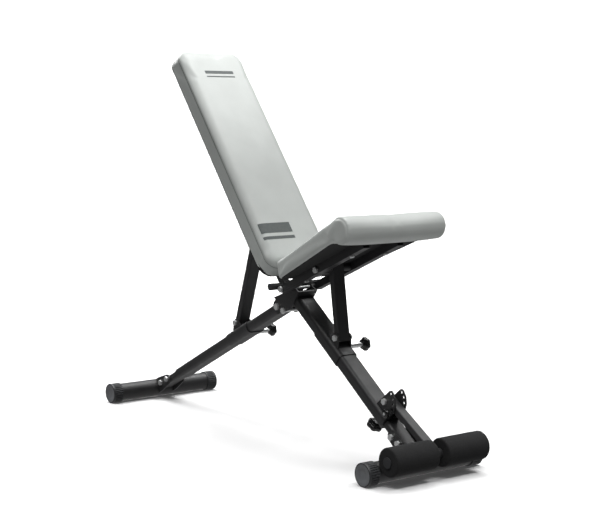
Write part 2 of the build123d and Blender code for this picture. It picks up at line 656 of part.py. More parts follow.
with BuildPart() as cross_tube_caps:
    with BuildSketch(back_side.offset(CROSS_TUBE_LENGTH / 2)):
        Circle(CROSS_TUBE_RADIUS)
    extrude(amount=PLUG_HEAD)
    with BuildSketch(back_side.offset(CROSS_TUBE_LENGTH / 2)):
        Circle(CROSS_TUBE_RADIUS - FOOT_WALL)
    extrude(amount=-PLUG_DEPTH)
    mirror(about=Plane.XZ)

with BuildPart() as backrest_rails:
    rails(
        back_side,
        BACK_RAIL_DEPTH / 2,
        BACK_RAIL_INNER,
        BACK_RAIL_WIDTH,
        BACK_RAIL_DEPTH,
        BACK_RAIL_LENGTH,
        CROSS_TUBE_RADIUS,
    )

board_bottom = BACK_RAIL_DEPTH / 2
cushion_bottom = board_bottom + BOARD
back_middle = BACK_START + BACK_LENGTH / 2
with BuildPart() as strut_track:
    track_end = (
        TRACK_ALONG + TRACK_TRAVEL,
        -TRACK_BEHIND + TRACK_SLOPE * TRACK_TRAVEL + TRACK_BEND * TRACK_TRAVEL**2,
    )
    track_knee = (TRACK_ALONG + TRACK_TRAVEL / 2, -TRACK_BEHIND + TRACK_SLOPE * TRACK_TRAVEL / 2)
    track_width = M10 + 2 * TRACK_CLEARANCE
    track_side = back_side.offset(BACK_RAIL_INNER - PLATE)
    with BuildSketch(track_side):
        with Locations((TRACK_ALONG, -TRACK_BEHIND)):
            Circle(M10 + TRACK_MARGIN)
        with Locations((TRACK_ALONG + TRACK_TRAVEL, -TRACK_BEHIND / 2)):
            Circle(M10 + TRACK_MARGIN)
        with Locations((TRACK_ALONG + TRACK_TRAVEL / 2, 0)):
            Rectangle(TRACK_TRAVEL + 2 * TRACK_FOOT, BACK_RAIL_DEPTH)
        make_hull()
    extrude(amount=PLATE)
    with BuildSketch(track_side):
        with BuildLine():
            Bezier((TRACK_ALONG, -TRACK_BEHIND), track_knee, track_end)
        trace(line_width=track_width)
        with Locations((TRACK_ALONG, -TRACK_BEHIND), track_end):
            Circle(track_width / 2)
    extrude(amount=PLATE, mode=Mode.SUBTRACT)
    mirror(about=Plane.XZ)

with BuildPart() as backrest_board:
    with BuildSketch(back_face.offset(board_bottom)):
        with Locations((back_middle, 0)):
            RectangleRounded(
                BACK_LENGTH - 2 * BOARD_INSET,
                BACK_WIDTH - 2 * BOARD_INSET,
                BACK_CORNER - BOARD_INSET,
            )
    extrude(amount=BOARD)

with BuildPart() as backrest_cushion:
    with BuildSketch(back_face.offset(cushion_bottom)):
        with Locations((back_middle, 0)):
            RectangleRounded(BACK_LENGTH, BACK_WIDTH, BACK_CORNER)
    extrude(amount=BACK_PAD - BOARD)

back_screw_y = BACK_RAIL_INNER + BACK_RAIL_WIDTH / 2
with BuildPart() as backrest_screws:
    with BuildSketch(back_face.offset(-BACK_RAIL_DEPTH / 2)):
        with Locations(*[(u, y) for u in BACK_SCREWS for y in (-back_screw_y, back_screw_y)]):
            Circle(SCREW_RADIUS)
    extrude(amount=-SCREW_HEAD)

# ---------------------------------------------------------------- seat
with BuildPart() as seat_rails:
    rails(
        seat_side,
        SEAT_RAIL_DEPTH / 2,
        SEAT_RAIL_INNER,
        SEAT_RAIL_WIDTH,
        SEAT_RAIL_DEPTH,
        SEAT_RAIL_LENGTH,
        M10 / 2 + RUNNING_FIT,
    )
    cross_round(seat_side, SEAT_STRUT_AHEAD, 0, M10 / 2, 4 * LEG_WIDTH, mode=Mode.SUBTRACT)

seat_board_bottom = SEAT_RAIL_DEPTH / 2
seat_pad_bottom = seat_board_bottom + BOARD
seat_pad_top = seat_board_bottom + SEAT_PAD
with BuildPart() as seat_cross_plate:
    with BuildSketch(seat_face.offset(seat_board_bottom - PLATE)):
        with Locations((CROSS_PLATE_AHEAD, 0)):
            Rectangle(CROSS_PLATE_WIDTH, 2 * SEAT_RAIL_INNER)
    extrude(amount=PLATE)


def seat_outline(start, end, rear_width, front_width, corner):
    """Add the seat's tapered outline to a sketch."""
    with BuildLine() as edge:
        Polyline(
            (start, -rear_width / 2),
            (end, -front_width / 2),
            (end, front_width / 2),
            (start, rear_width / 2),
            close=True,
        )
    make_face(edge.edges())
    fillet(vertices(), corner)


with BuildPart() as seat_board:
    with BuildSketch(seat_face.offset(seat_board_bottom)):
        seat_outline(
            SEAT_START + BOARD_INSET,
            SEAT_RAIL_LENGTH,
            SEAT_REAR_WIDTH - 2 * BOARD_INSET,
            SEAT_FRONT_WIDTH - 4 * BOARD_INSET,
            SEAT_CORNER,
        )
        with Locations((SEAT_STRUT_AHEAD, 0)):
            Rectangle(STRUT_SLOT_LENGTH, STRUT_WIDTH + 2 * STRUT_SLOT_GAP, mode=Mode.SUBTRACT)
    extrude(amount=BOARD)

with BuildPart() as seat_cushion:
    with BuildSketch(seat_face.offset(seat_pad_bottom)):
        flat_front_width = SEAT_FRONT_WIDTH - 2 * SEAT_SIDE_STEP
        seat_outline(SEAT_START, SEAT_ROLL_AHEAD, SEAT_REAR_WIDTH, flat_front_width, SEAT_CORNER / 2)
    extrude(amount=seat_pad_top - seat_pad_bottom)
    cross_round(
        seat_side,
        SEAT_ROLL_AHEAD,
        seat_pad_top - SEAT_ROLL_RADIUS,
        SEAT_ROLL_RADIUS,
        SEAT_FRONT_WIDTH,
    )

seat_screw_y = SEAT_RAIL_INNER + SEAT_RAIL_WIDTH / 2
with BuildPart() as seat_screws:
    with BuildSketch(seat_face.offset(-SEAT_RAIL_DEPTH / 2)):
        with Locations(*[(u, y) for u in SEAT_SCREWS for y in (-seat_screw_y, seat_screw_y)]):
            RegularPolygon(SCREW_RADIUS, 6, major_radius=False)
    extrude(amount=-SCREW_HEAD)
    with BuildSketch(seat_face.offset(seat_board_bottom - PLATE)):
        with Locations((CROSS_PLATE_AHEAD, 0)):
            RegularPolygon(SCREW_RADIUS, 6, major_radius=False)
    extrude(amount=-SCREW_HEAD)

with BuildPart() as front_strut_bolt:
    cross_bolt(seat_side, SEAT_STRUT_AHEAD, 0, M10, 2 * seat_rail_outer, M10_ACROSS, M10_HEAD)

with BuildPart() as front_strut_spacers:
    inside = STRUT_WIDTH / 2 + STRUT_SIDE_GAP
    round_tubes(seat_side, SEAT_STRUT_AHEAD, 0, SPACER_RADIUS, M10 / 2, inside, SEAT_RAIL_INNER)

# ---------------------------------------------------------------- sleeves, struts and pull pins
with BuildPart() as rear_sleeve:
    strut_ears(rear_side, rear_strut_station, REAR_LEG_DEPTH, rear_strut_rise)
    sleeve(rear_section, rear_side, rear_strut_station, REAR_SLEEVE_LEAD, REAR_WIDTH, REAR_LEG_DEPTH)

strut_grip = 2 * (STRUT_EAR_INNER + STRUT_EAR)
with BuildPart() as rear_sleeve_bolt:
    cross_bolt(rear_side, rear_strut_station, rear_strut_rise, M10, strut_grip, M10_ACROSS, M10_HEAD)

with BuildPart() as rear_pin_barrel:
    pin_barrel(rear_pin_axis, rear_pin_face, SIDE_BARREL_LENGTH)

with BuildPart() as rear_strut:
    straight_strut(rear_strut_section, rear_strut_length)
    cross_round(rear_strut_side, 0, 0, M10 / 2 + RUNNING_FIT, LEG_WIDTH, mode=Mode.SUBTRACT)
    cross_round(rear_strut_side, rear_strut_length, 0, M10 / 2, LEG_WIDTH, mode=Mode.SUBTRACT)

with BuildPart() as rear_strut_pin:
    cross_round(rear_strut_side, rear_strut_length, 0, M10 / 2, 2 * (BACK_RAIL_INNER + PIN_PAST_RAIL))

with BuildPart() as front_sleeve:
    strut_ears(front_side, front_strut_station, FRONT_LEG_DEPTH, front_strut_rise)
    sleeve(front_section, front_side, front_strut_station, FRONT_SLEEVE_LEAD, LEG_WIDTH, FRONT_LEG_DEPTH)

with BuildPart() as front_sleeve_bolt:
    cross_bolt(front_side, front_strut_station, front_strut_rise, M10, strut_grip, M10_ACROSS, M10_HEAD)

with BuildPart() as front_pin_barrel:
    pin_barrel(front_pin_axis, front_pin_face, SIDE_BARREL_LENGTH)

with BuildPart() as front_strut:
    straight_strut(front_strut_section, front_strut_length)
    cross_round(front_strut_side, 0, 0, M10 / 2 + RUNNING_FIT, LEG_WIDTH, mode=Mode.SUBTRACT)
    open_hole = M10 / 2 + SEAT_STRUT_PLAY
    cross_round(front_strut_side, front_strut_length, 0, open_hole, LEG_WIDTH, mode=Mode.SUBTRACT)

with BuildPart() as rear_plunger:
    pin_plunger(rear_pin_axis, rear_pin_face, SIDE_KNOB_OUT)

with BuildPart() as rear_knob:
    pin_knob(rear_pin_axis, SIDE_KNOB_OUT, KNOB_RADIUS)

with BuildPart() as front_plunger:
    pin_plunger(front_pin_axis, front_pin_face, SIDE_KNOB_OUT)

with BuildPart() as front_knob:
    pin_knob(front_pin_axis, SIDE_KNOB_OUT, KNOB_RADIUS)

with BuildPart() as leg_plunger:
    pin_plunger(leg_pin_axis, leg_pin_face, LEG_KNOB_OUT)

with BuildPart() as leg_knob:
    pin_knob(leg_pin_axis, LEG_KNOB_OUT, LEG_KNOB_RADIUS)

# ---------------------------------------------------------------- foot hold-down
with BuildPart() as hold_down_arm:
    box_tube(arm_section, 0, arm_length + ARM_TAIL, ARM_WIDTH, ARM_DEPTH, ARM_CORNER, ARM_WALL)
    cross_round(arm_side, 0, 0, AXLE_RADIUS, LEG_WIDTH, mode=Mode.SUBTRACT)
    cross_round(arm_side, arm_length, 0, M10 / 2 + RUNNING_FIT, LEG_WIDTH, mode=Mode.SUBTRACT)

with BuildPart() as roller_axle:
    cross_round(arm_side, 0, 0, AXLE_RADIUS, AXLE_LENGTH)
    cross_round(arm_side, 0, 0, AXLE_RADIUS - FOOT_WALL, AXLE_LENGTH, mode=Mode.SUBTRACT)

with BuildPart() as roller_plugs:
    with BuildSketch(arm_side.offset(AXLE_LENGTH / 2)):
        Circle(PLUG_RADIUS)
    extrude(amount=PLUG_HEAD)
    with BuildSketch(arm_side.offset(AXLE_LENGTH / 2)):
        Circle(AXLE_RADIUS - FOOT_WALL)
    extrude(amount=-PLUG_DEPTH)
    mirror(about=Plane.XZ)

across_bench = Plane(origin=axle_centre, x_dir=(1, 0, 0), z_dir=(0, 1, 0))


def roller(direction):
    """Add one roller's tube, clear of the arm and of the plug at the axle's end."""
    with BuildSketch(across_bench.offset(direction * FOAM_START)) as profile:
        Circle(FOAM_RADIUS)
        Circle(AXLE_RADIUS + RUNNING_FIT, mode=Mode.SUBTRACT)
    extrude(profile.sketch, amount=direction * (AXLE_LENGTH / 2 - ROLLER_END_GAP - FOAM_START))


with BuildPart() as near_roller:
    roller(-1)

with BuildPart() as far_roller:
    roller(1)

rest_pin_plane = Plane(
    origin=arm_side.from_local_coords((*rest_pin_on_arm, 0)),
    x_dir=(1, 0, 0),
    z_dir=(0, -1, 0),
)
with BuildPart() as hold_down_pin:
    with BuildSketch(rest_pin_plane.offset(-hole_plate_outer - REST_PIN_TIP)):
        Circle(REST_PIN / 2)
    extrude(amount=hole_plate_outer + REST_PIN_TIP + REST_PIN_BACK)

with BuildPart() as hold_down_knob:
    with BuildSketch(rest_pin_plane.offset(hole_plate_outer + REST_KNOB_GAP)):
        Circle(REST_KNOB_RADIUS)
        Circle(REST_PIN / 2, mode=Mode.SUBTRACT)
    extrude(amount=REST_KNOB_LENGTH)

# ---------------------------------------------------------------- files
nodes = {
    "front_leg": front_leg,
    "front_leg_bush": front_leg_bush,
    "hub": hub,
    "fold_bolt": fold_bolt,
    "stop_bolt": stop_bolt,
    "seat_pivot_bolt": seat_pivot_bolt,
    "seat_pivot_spacers": seat_pivot_spacers,
    "hold_down_plates": hold_down_plates,
    "hold_down_bolt": hold_down_bolt,
    "leg_pin_barrel": leg_pin_barrel,
    "front_foot_tube": front_foot_tube,
    "front_foot_caps": front_foot_caps,
    "front_foot_stem": front_foot_stem,
    "front_foot_bracket": front_foot_bracket,
    "front_foot_bolts": front_foot_bolts,
    "rear_leg": rear_leg,
    "rear_leg_plugs": rear_leg_plugs,
    "fold_bush": fold_bush,
    "backrest_lugs": backrest_lugs,
    "rear_foot_tube": rear_foot_tube,
    "rear_foot_caps": rear_foot_caps,
    "rear_foot_stem": rear_foot_stem,
    "rear_foot_bracket": rear_foot_bracket,
    "rear_foot_bolts": rear_foot_bolts,
    "backrest_cross_tube": backrest_cross_tube,
    "cross_tube_caps": cross_tube_caps,
    "backrest_rails": backrest_rails,
    "strut_track": strut_track,
    "backrest_board": backrest_board,
    "backrest_cushion": backrest_cushion,
    "backrest_screws": backrest_screws,
    "seat_rails": seat_rails,
    "seat_cross_plate": seat_cross_plate,
    "seat_board": seat_board,
    "seat_cushion": seat_cushion,
    "seat_screws": seat_screws,
    "front_strut_bolt": front_strut_bolt,
    "front_strut_spacers": front_strut_spacers,
    "rear_sleeve": rear_sleeve,
    "rear_sleeve_bolt": rear_sleeve_bolt,
    "rear_pin_barrel": rear_pin_barrel,
    "rear_strut": rear_strut,
    "rear_strut_pin": rear_strut_pin,
    "front_sleeve": front_sleeve,
    "front_sleeve_bolt": front_sleeve_bolt,
    "front_pin_barrel": front_pin_barrel,
    "front_strut": front_strut,
    "rear_plunger": rear_plunger,
    "rear_knob": rear_knob,
    "front_plunger": front_plunger,
    "front_knob": front_knob,
    "leg_plunger": leg_plunger,
    "leg_knob": leg_knob,
    "hold_down_arm": hold_down_arm,
    "roller_axle": roller_axle,
    "roller_plugs": roller_plugs,
    "near_roller": near_roller,
    "far_roller": far_roller,
    "hold_down_pin": hold_down_pin,
    "hold_down_knob": hold_down_knob,
}
os.makedirs("parts", exist_ok=True)
for label, piece in nodes.items():
    piece.part.label = label
    export_step(piece.part, f"parts/{label}.step")
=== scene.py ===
# %% [markdown]
# # An adjustable weight bench
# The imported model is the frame: its tubes, plates and bolts stay as they are and get materials.
# The pads, rollers, end caps and knobs are made here as finer meshes that stand for the plain solids.

# %% Load the frame
import json
from math import atan2, cos, degrees, pi, radians, sin

import bmesh
import bpy
import numpy as np
from mathutils import Matrix, Vector
from mathutils.bvhtree import BVHTree
from mathutils.kdtree import KDTree


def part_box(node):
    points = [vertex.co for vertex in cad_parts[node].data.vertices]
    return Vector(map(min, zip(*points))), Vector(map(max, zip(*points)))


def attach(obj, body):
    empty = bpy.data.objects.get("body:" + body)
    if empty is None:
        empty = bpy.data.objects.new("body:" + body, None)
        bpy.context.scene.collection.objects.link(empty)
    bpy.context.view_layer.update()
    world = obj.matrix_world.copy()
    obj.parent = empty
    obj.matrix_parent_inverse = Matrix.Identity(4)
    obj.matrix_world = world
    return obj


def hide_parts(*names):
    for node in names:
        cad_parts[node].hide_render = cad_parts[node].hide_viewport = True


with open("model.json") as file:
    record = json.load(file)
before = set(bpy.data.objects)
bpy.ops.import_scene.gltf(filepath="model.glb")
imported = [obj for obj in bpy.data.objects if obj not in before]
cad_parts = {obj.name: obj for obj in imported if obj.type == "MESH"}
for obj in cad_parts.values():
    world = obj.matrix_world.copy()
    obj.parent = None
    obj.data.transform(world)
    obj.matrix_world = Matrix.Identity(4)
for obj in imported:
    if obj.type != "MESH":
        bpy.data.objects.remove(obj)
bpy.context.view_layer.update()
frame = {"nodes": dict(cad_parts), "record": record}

MM = 0.001
BODY_OF = {node: body for body, nodes in frame["record"]["behaviour"]["bodies"].items() for node in nodes}
JOINTS = {joint["name"]: joint for joint in frame["record"]["behaviour"]["joints"]}

# %% [markdown]
# The camera comes first, because every later choice is judged through it.
# It stands in front and to one side, a little above the seat, and its long lens keeps the frame's lines calm.

# %% Camera
CAMERA_PLACE = Vector((3.2952, -2.4050, 0.9468))
CAMERA_AZIMUTH = radians(53.1)
CAMERA_ELEVATION = radians(5.8)
LENS_MM = 82.95
SENSOR_WIDTH_MM = 36.0

camera_data = bpy.data.cameras.new("camera")
camera_data.lens = LENS_MM
camera_data.sensor_width = SENSOR_WIDTH_MM
camera = bpy.data.objects.new("camera", camera_data)
camera.location = CAMERA_PLACE
camera.rotation_euler = (pi / 2 - CAMERA_ELEVATION, 0, CAMERA_AZIMUTH)
bpy.context.scene.collection.objects.link(camera)
bpy.context.scene.camera = camera
print("camera", tuple(round(c, 3) for c in camera.location))

# %% [markdown]
# The stage is one white bowl: a flat floor whose far rim curves up into a wall, so no horizon line shows
# from any side. It is a profile turned about Z, which is the simplest surface with no corner in it.


# %% Meshes from grids
def grid_mesh(name, points, close_u=False, close_v=False):
    """A mesh from a grid of points: rows run along u, columns along v, and each cell is one face."""
    points = np.asarray(points, float)
    rows, cols = points.shape[:2]
    index = np.arange(rows * cols).reshape(rows, cols)
    if close_u:
        index = np.vstack([index, index[:1]])
    if close_v:
        index = np.hstack([index, index[:, :1]])
    faces = np.stack([index[:-1, :-1], index[1:, :-1], index[1:, 1:], index[:-1, 1:]], axis=-1)
    mesh = bpy.data.meshes.new(name)
    mesh.from_pydata(points.reshape(-1, 3), [], faces.reshape(-1, 4))
    mesh.update()
    piece = bpy.data.objects.new(name, mesh)
    bpy.context.scene.collection.objects.link(piece)
    return piece


MERGE_DISTANCE = 1e-6


def tidy(piece, smooth_angle=40.0):
    """Merges doubled points, turns every face outwards and smooths all edges flatter than an angle."""
    bm = bmesh.new()
    bm.from_mesh(piece.data)
    bmesh.ops.remove_doubles(bm, verts=bm.verts, dist=MERGE_DISTANCE)
    bmesh.ops.dissolve_degenerate(bm, edges=bm.edges, dist=MERGE_DISTANCE)
    bmesh.ops.recalc_face_normals(bm, faces=bm.faces)
    bm.to_mesh(piece.data)
    bm.free()
    piece.data.shade_smooth()
    piece.data.set_sharp_from_angle(angle=radians(smooth_angle))
    return piece


def turned(name, profile, segments):
    """A profile of (radius, height) pairs turned about Z: x = r cos a, y = r sin a, z = h."""
    profile = np.asarray(profile, float)
    turns = np.linspace(0, 2 * pi, segments, endpoint=False)
    radius, height = profile[:, 0][:, None], profile[:, 1][:, None]
    points = np.stack(
        [radius * np.cos(turns), radius * np.sin(turns), height + 0 * turns[None, :]], axis=-1
    )
    return grid_mesh(name, points, close_v=True)


# %% The stage
FLOOR_RADIUS = 6.0
FLOOR_MIDDLE = (0.0001, 2.0)   # radii of the first two rings; the first is too small to see
FLOOR_DROP = 0.0005            # the floor lies this far under the feet, so no two faces coincide
RIM_RADIUS = 2.0
WALL_HEIGHT = 5.0
rim = np.linspace(0, pi / 2, 24)
stage_profile = np.vstack(
    [
        [[radius, 0.0] for radius in FLOOR_MIDDLE],
        np.stack([FLOOR_RADIUS + RIM_RADIUS * np.sin(rim), RIM_RADIUS * (1 - np.cos(rim))], axis=1),
        [[FLOOR_RADIUS + RIM_RADIUS, WALL_HEIGHT]],
    ]
)
stage = turned("stage", stage_profile, 96)
stage.data.transform(Matrix.Translation((0, 0, -FLOOR_DROP)))
stage.data.shade_smooth()
print("stage radius", FLOOR_RADIUS + RIM_RADIUS, "m")

# %% [markdown]
# The key is a large soft lamp high above. A second lamp, behind and to the left, draws the shadows forward,
# and a weak one with a narrow beam lifts the backrest. Around the horizon the studio is dark, so upright
# faces fall into shade and the front roll gets its dark band. The stage is hidden from the bench's own light
# rays, as where a floor is lit by itself, and a ring of lamps washes its walls white.


# %% Lights
WALL_LAMPS = 6
WALL_LAMP_RING = 3.0           # radius and height of the ring, then of the ring that its lamps aim at
WALL_LAMP_HEIGHT = 4.6
WALL_AIM_RING = 7.5
WALL_AIM_HEIGHT = 1.0
WALL_LAMP_POWER = 420
BACK_BEAM = radians(26)
# The sky's light by the height of a direction: 0 is straight down, 0.5 the horizon and 1 straight up.
SKY = ((0.0, 0.48), (0.36, 0.34), (0.5, 0.03), (0.66, 0.03), (0.82, 0.26), (1.0, 0.5))


def area_lamp(name, place, target, size, power):
    """A square soft lamp at a place, turned towards a target."""
    data = bpy.data.lights.new(name, "AREA")
    data.size = size
    data.energy = power
    lamp = bpy.data.objects.new(name, data)
    lamp.location = place
    lamp.rotation_euler = (Vector(target) - Vector(place)).to_track_quat("-Z", "Y").to_euler()
    bpy.context.scene.collection.objects.link(lamp)
    return lamp


area_lamp("key_lamp", (-0.3, 0.9, 3.7), (0.0, 0.0, 0.5), 1.8, 74)
back_lamp = area_lamp("back_lamp", (1.6, 0.3, 2.9), (-0.4, 0.0, 1.1), 0.5, 1.1)
back_lamp.data.spread = BACK_BEAM
area_lamp("left_lamp", (-2.8, -0.2, 2.4), (0.0, 0.0, 0.3), 0.9, 55)
for turn in range(WALL_LAMPS):
    angle = 2 * pi * turn / WALL_LAMPS
    area_lamp(
        f"wall_lamp_{turn}",
        (WALL_LAMP_RING * cos(angle), WALL_LAMP_RING * sin(angle), WALL_LAMP_HEIGHT),
        (WALL_AIM_RING * cos(angle), WALL_AIM_RING * sin(angle), WALL_AIM_HEIGHT),
        3.0,
        WALL_LAMP_POWER,
    )
for flag in ("visible_diffuse", "visible_glossy", "visible_shadow"):
    setattr(stage, flag, False)
world = bpy.data.worlds.new("world")
bpy.context.scene.world = world
world.use_nodes = True
sky_tree = world.node_tree
direction = sky_tree.nodes.new("ShaderNodeTexCoord")
split = sky_tree.nodes.new("ShaderNodeSeparateXYZ")
share = sky_tree.nodes.new("ShaderNodeMapRange")
share.inputs["From Min"].default_value = -1.0
fade = sky_tree.nodes.new("ShaderNodeValToRGB")
while len(fade.color_ramp.elements) < len(SKY):
    fade.color_ramp.elements.new(0.5)
for element, (height, light) in zip(fade.color_ramp.elements, SKY):
    element.position = height
    element.color = (light, light, light, 1)
sky_tree.links.new(direction.outputs["Generated"], split.inputs[0])
sky_tree.links.new(split.outputs["Z"], share.inputs["Value"])
sky_tree.links.new(share.outputs["Result"], fade.inputs["Fac"])
sky_tree.links.new(fade.outputs["Color"], sky_tree.nodes["Background"].inputs["Color"])
bpy.context.scene.view_settings.view_transform = "Standard"
print("lamps", len(bpy.data.lights))

# %% [markdown]
# Materials are named for the real ones. Each pattern's scale comes from a size in millimetres,
# read from Object coordinates, which are metres here because every piece sits at the origin.


# %% Colour and node helpers
def linear(hex_colour):
    """An sRGB hex colour as linear RGBA."""
    channels = np.array([int(hex_colour[i : i + 2], 16) for i in (1, 3, 5)]) / 255
    low, high = channels / 12.92, ((channels + 0.055) / 1.055) ** 2.4
    return (*np.where(channels <= 0.04045, low, high).tolist(), 1.0)


def add_node(tree, kind, links=(), **settings):
    """Adds a node, sets its sockets or properties by name, and links (output, input name) pairs into it."""
    node = tree.nodes.new(kind)
    for name, value in settings.items():
        socket = node.inputs.get(name.replace("_", " "))
        if socket is not None:
            socket.default_value = value
        else:
            setattr(node, name, value)
    for output, name in links:
        tree.links.new(output, node.inputs[name])
    return node


def new_material(name, colour, roughness, **shader_settings):
    """A material with one Principled shader, and its tree, shader and Object coordinates."""
    material = bpy.data.materials.new(name)
    material.use_nodes = True
    tree = material.node_tree
    shader = tree.nodes["Principled BSDF"]
    shader.inputs["Base Color"].default_value = linear(colour)
    shader.inputs["Roughness"].default_value = roughness
    for key, value in shader_settings.items():
        shader.inputs[key.replace("_", " ")].default_value = value
    place = add_node(tree, "ShaderNodeTexCoord").outputs["Object"]
    return material, tree, shader, place


def noise(tree, place, size_mm, detail=3.0, roughness=0.5):
    """Noise whose blobs are about size_mm across."""
    made = add_node(tree, "ShaderNodeTexNoise", [(place, "Vector")], Scale=1 / (size_mm * MM),
                    Detail=detail, Roughness=roughness)
    return made.outputs["Fac"]


def ramp(tree, value, start, end, low, high):
    """Maps a value between start and end to a number between low and high."""
    made = add_node(tree, "ShaderNodeMapRange", [(value, "Value")], From_Min=start, From_Max=end,
                    To_Min=low, To_Max=high)
    return made.outputs["Result"]


def vary_colour(tree, shader, value, dark, light):
    """Mixes two close colours by a 0 to 1 value into the base colour."""
    made = add_node(tree, "ShaderNodeMix", data_type="RGBA")
    tree.links.new(value, made.inputs["Factor"])
    colour = next(o for o in made.outputs if o.type == "RGBA")
    colours = [i for i in made.inputs if i.type == "RGBA"]
    colours[0].default_value = linear(dark)
    colours[1].default_value = linear(light)
    tree.links.new(colour, shader.inputs["Base Color"])


def bump(tree, shader, height, depth_mm, strength):
    """Feeds a 0 to 1 height into the shader's normal, depth_mm deep."""
    made = add_node(tree, "ShaderNodeBump", [(height, "Height")], Strength=strength, Distance=depth_mm * MM)
    tree.links.new(made.outputs["Normal"], shader.inputs["Normal"])


# %% [markdown]
# The studio floor is matt white paper, so it carries soft shadows and no reflection.

# %% Studio paper
paper, tree, shader, place = new_material("studio_paper", "#E6E6E6", 0.9, Emission_Strength=0.04)
shader.inputs["Emission Color"].default_value = linear("#FFFFFF")
stage.data.materials.append(paper)

# %% [markdown]
# The frame is steel tube with a satin black powder coat. Powder melts into a skin with a fine orange peel,
# about a millimetre from crest to crest, which breaks up the highlights along the tubes.

# %% Powder-coated steel
powder_coat, tree, shader, place = new_material("satin_black_powder_coat", "#232324", 0.42)
vary_colour(tree, shader, noise(tree, place, 60.0), "#262627", "#343435")
tree.links.new(ramp(tree, noise(tree, place, 25.0), 0.3, 0.7, 0.38, 0.52), shader.inputs["Roughness"])
bump(tree, shader, noise(tree, place, 1.1, 2.0), 0.05, 0.5)

# %% Zinc-plated steel
# Bright zinc plate on bolt heads is pale, slightly blue and soft, with fine passivation clouds.
zinc, tree, shader, place = new_material("zinc_plated_steel", "#E2E4E4", 0.45, Metallic=0.85)
vary_colour(tree, shader, noise(tree, place, 3.0), "#E6E8E8", "#F8F9F8")
tree.links.new(ramp(tree, noise(tree, place, 1.2), 0.3, 0.7, 0.38, 0.52), shader.inputs["Roughness"])
bump(tree, shader, noise(tree, place, 0.8), 0.02, 0.4)

# %% Chrome-plated steel
# The pull pins' barrels and plungers are polished and plated, so they mirror the dark frame and white floor.
chrome, tree, shader, place = new_material("chrome_plated_steel", "#E4E6E6", 0.3, Metallic=0.9)
tree.links.new(ramp(tree, noise(tree, place, 6.0), 0.3, 0.7, 0.25, 0.36), shader.inputs["Roughness"])

# %% Moulded polypropylene
# End caps are moulded in a dark grey polypropylene with a spark-eroded texture that scatters the light.
cap_plastic, tree, shader, place = new_material("moulded_polypropylene", "#2E2F31", 0.5)
vary_colour(tree, shader, noise(tree, place, 20.0), "#28292B", "#37383A")
bump(tree, shader, noise(tree, place, 0.7, 2.0), 0.05, 0.6)
# The flat end faces take a lighter grey copy of the same polypropylene: the lighter grey is painted sheen on
# the face, not a colour of the moulding.
cap_face_painted_sheen, tree, shader, place = new_material("moulded_polypropylene_face_painted_sheen", "#5A5C5F", 0.48)
vary_colour(tree, shader, noise(tree, place, 14.0), "#66686B", "#75777A")
bump(tree, shader, noise(tree, place, 0.7, 2.0), 0.05, 0.6)

# %% Phenolic knob
# The knobs are pressed from a black phenolic plastic and tumbled, which leaves them smooth with a soft gloss.
phenolic, tree, shader, place = new_material("tumbled_phenolic", "#141415", 0.26, Coat_Weight=0.3)
tree.links.new(ramp(tree, noise(tree, place, 5.0), 0.3, 0.7, 0.22, 0.34), shader.inputs["Roughness"])
bump(tree, shader, noise(tree, place, 2.0), 0.03, 0.3)

# %% Closed-cell foam
# The rollers are closed-cell foam tube. Its skin is a carpet of cut cells, drawn about 2 mm wide, a little
# coarser than life so that they show, and it throws almost no highlight.
foam, tree, shader, place = new_material("closed_cell_foam", "#1B1B1C", 0.95)
cell_depth_and_pit_shade = add_node(tree, "ShaderNodeTexVoronoi", [(place, "Vector")], Scale=1 / (2.0 * MM)).outputs["Distance"]
# The colour is painted dark at each cell's middle, the bottom of its pit, and lighter towards its rim: painted
# shade in the pits.
vary_colour(tree, shader, ramp(tree, cell_depth_and_pit_shade, 0.0, 0.8, 0.0, 1.0), "#0B0B0C", "#1B1B1C")
bump(tree, shader, cell_depth_and_pit_shade, 0.5, 0.8)

# %% Embossed vinyl
# The covers are pale grey upholstery vinyl. A heated roller embosses it with a leather grain: pebbles about
# 1.5 mm wide with fine creases between them. The sheen is soft and a little uneven where the foam pulls it.
def make_vinyl(name, dark, light):
    """Vinyl between two close shades, with the same embossed grain."""
    material, tree, shader, place = new_material(name, light, 0.46)
    vary_colour(tree, shader, ramp(tree, noise(tree, place, 90.0), 0.3, 0.7, 0.0, 1.0), dark, light)
    pebbles = add_node(tree, "ShaderNodeTexVoronoi", [(place, "Vector")], Scale=1 / (1.5 * MM))
    fine = noise(tree, place, 0.9)
    both = add_node(tree, "ShaderNodeMath", operation="ADD")
    tree.links.new(pebbles.outputs["Distance"], both.inputs[0])
    tree.links.new(fine, both.inputs[1])
    tree.links.new(ramp(tree, noise(tree, place, 30.0), 0.3, 0.7, 0.4, 0.54), shader.inputs["Roughness"])
    bump(tree, shader, both.outputs["Value"], 0.12, 0.55)
    return material


vinyl = make_vinyl("embossed_grey_vinyl", "#C0C4C1", "#C7CBC8")
print("materials so far", len(bpy.data.materials))

# %% Black lining cloth
# The undersides of the boards are covered with black non-woven polypropylene: short fibres pressed flat,
# with faint pale fluff about 2 mm across.
lining, tree, shader, place = new_material("nonwoven_lining", "#151516", 0.9)
fluff = ramp(tree, noise(tree, place, 2.2, 6.0, 0.7), 0.35, 0.7, 0.0, 1.0)
vary_colour(tree, shader, fluff, "#0F0F10", "#242425")
bump(tree, shader, noise(tree, place, 1.0, 4.0), 0.2, 0.5)

# %% Printed motif ink
# The motif is screen printed: a matt dark grey ink that sits on top of the vinyl's grain.
ink, tree, shader, place = new_material("screen_ink", "#565C5B", 0.6)
vary_colour(tree, shader, noise(tree, place, 8.0), "#505655", "#5E6463")

# %% Sewing thread
# The thread is bonded nylon, a shade darker than the cover, with a faint twist that dulls it.
thread, tree, shader, place = new_material("bonded_nylon_thread", "#7E837F", 0.7)
bump(tree, shader, noise(tree, place, 0.6), 0.05, 0.5)

# %% [markdown]
# Every CAD node whose shape is right keeps it and takes the material of its slot.

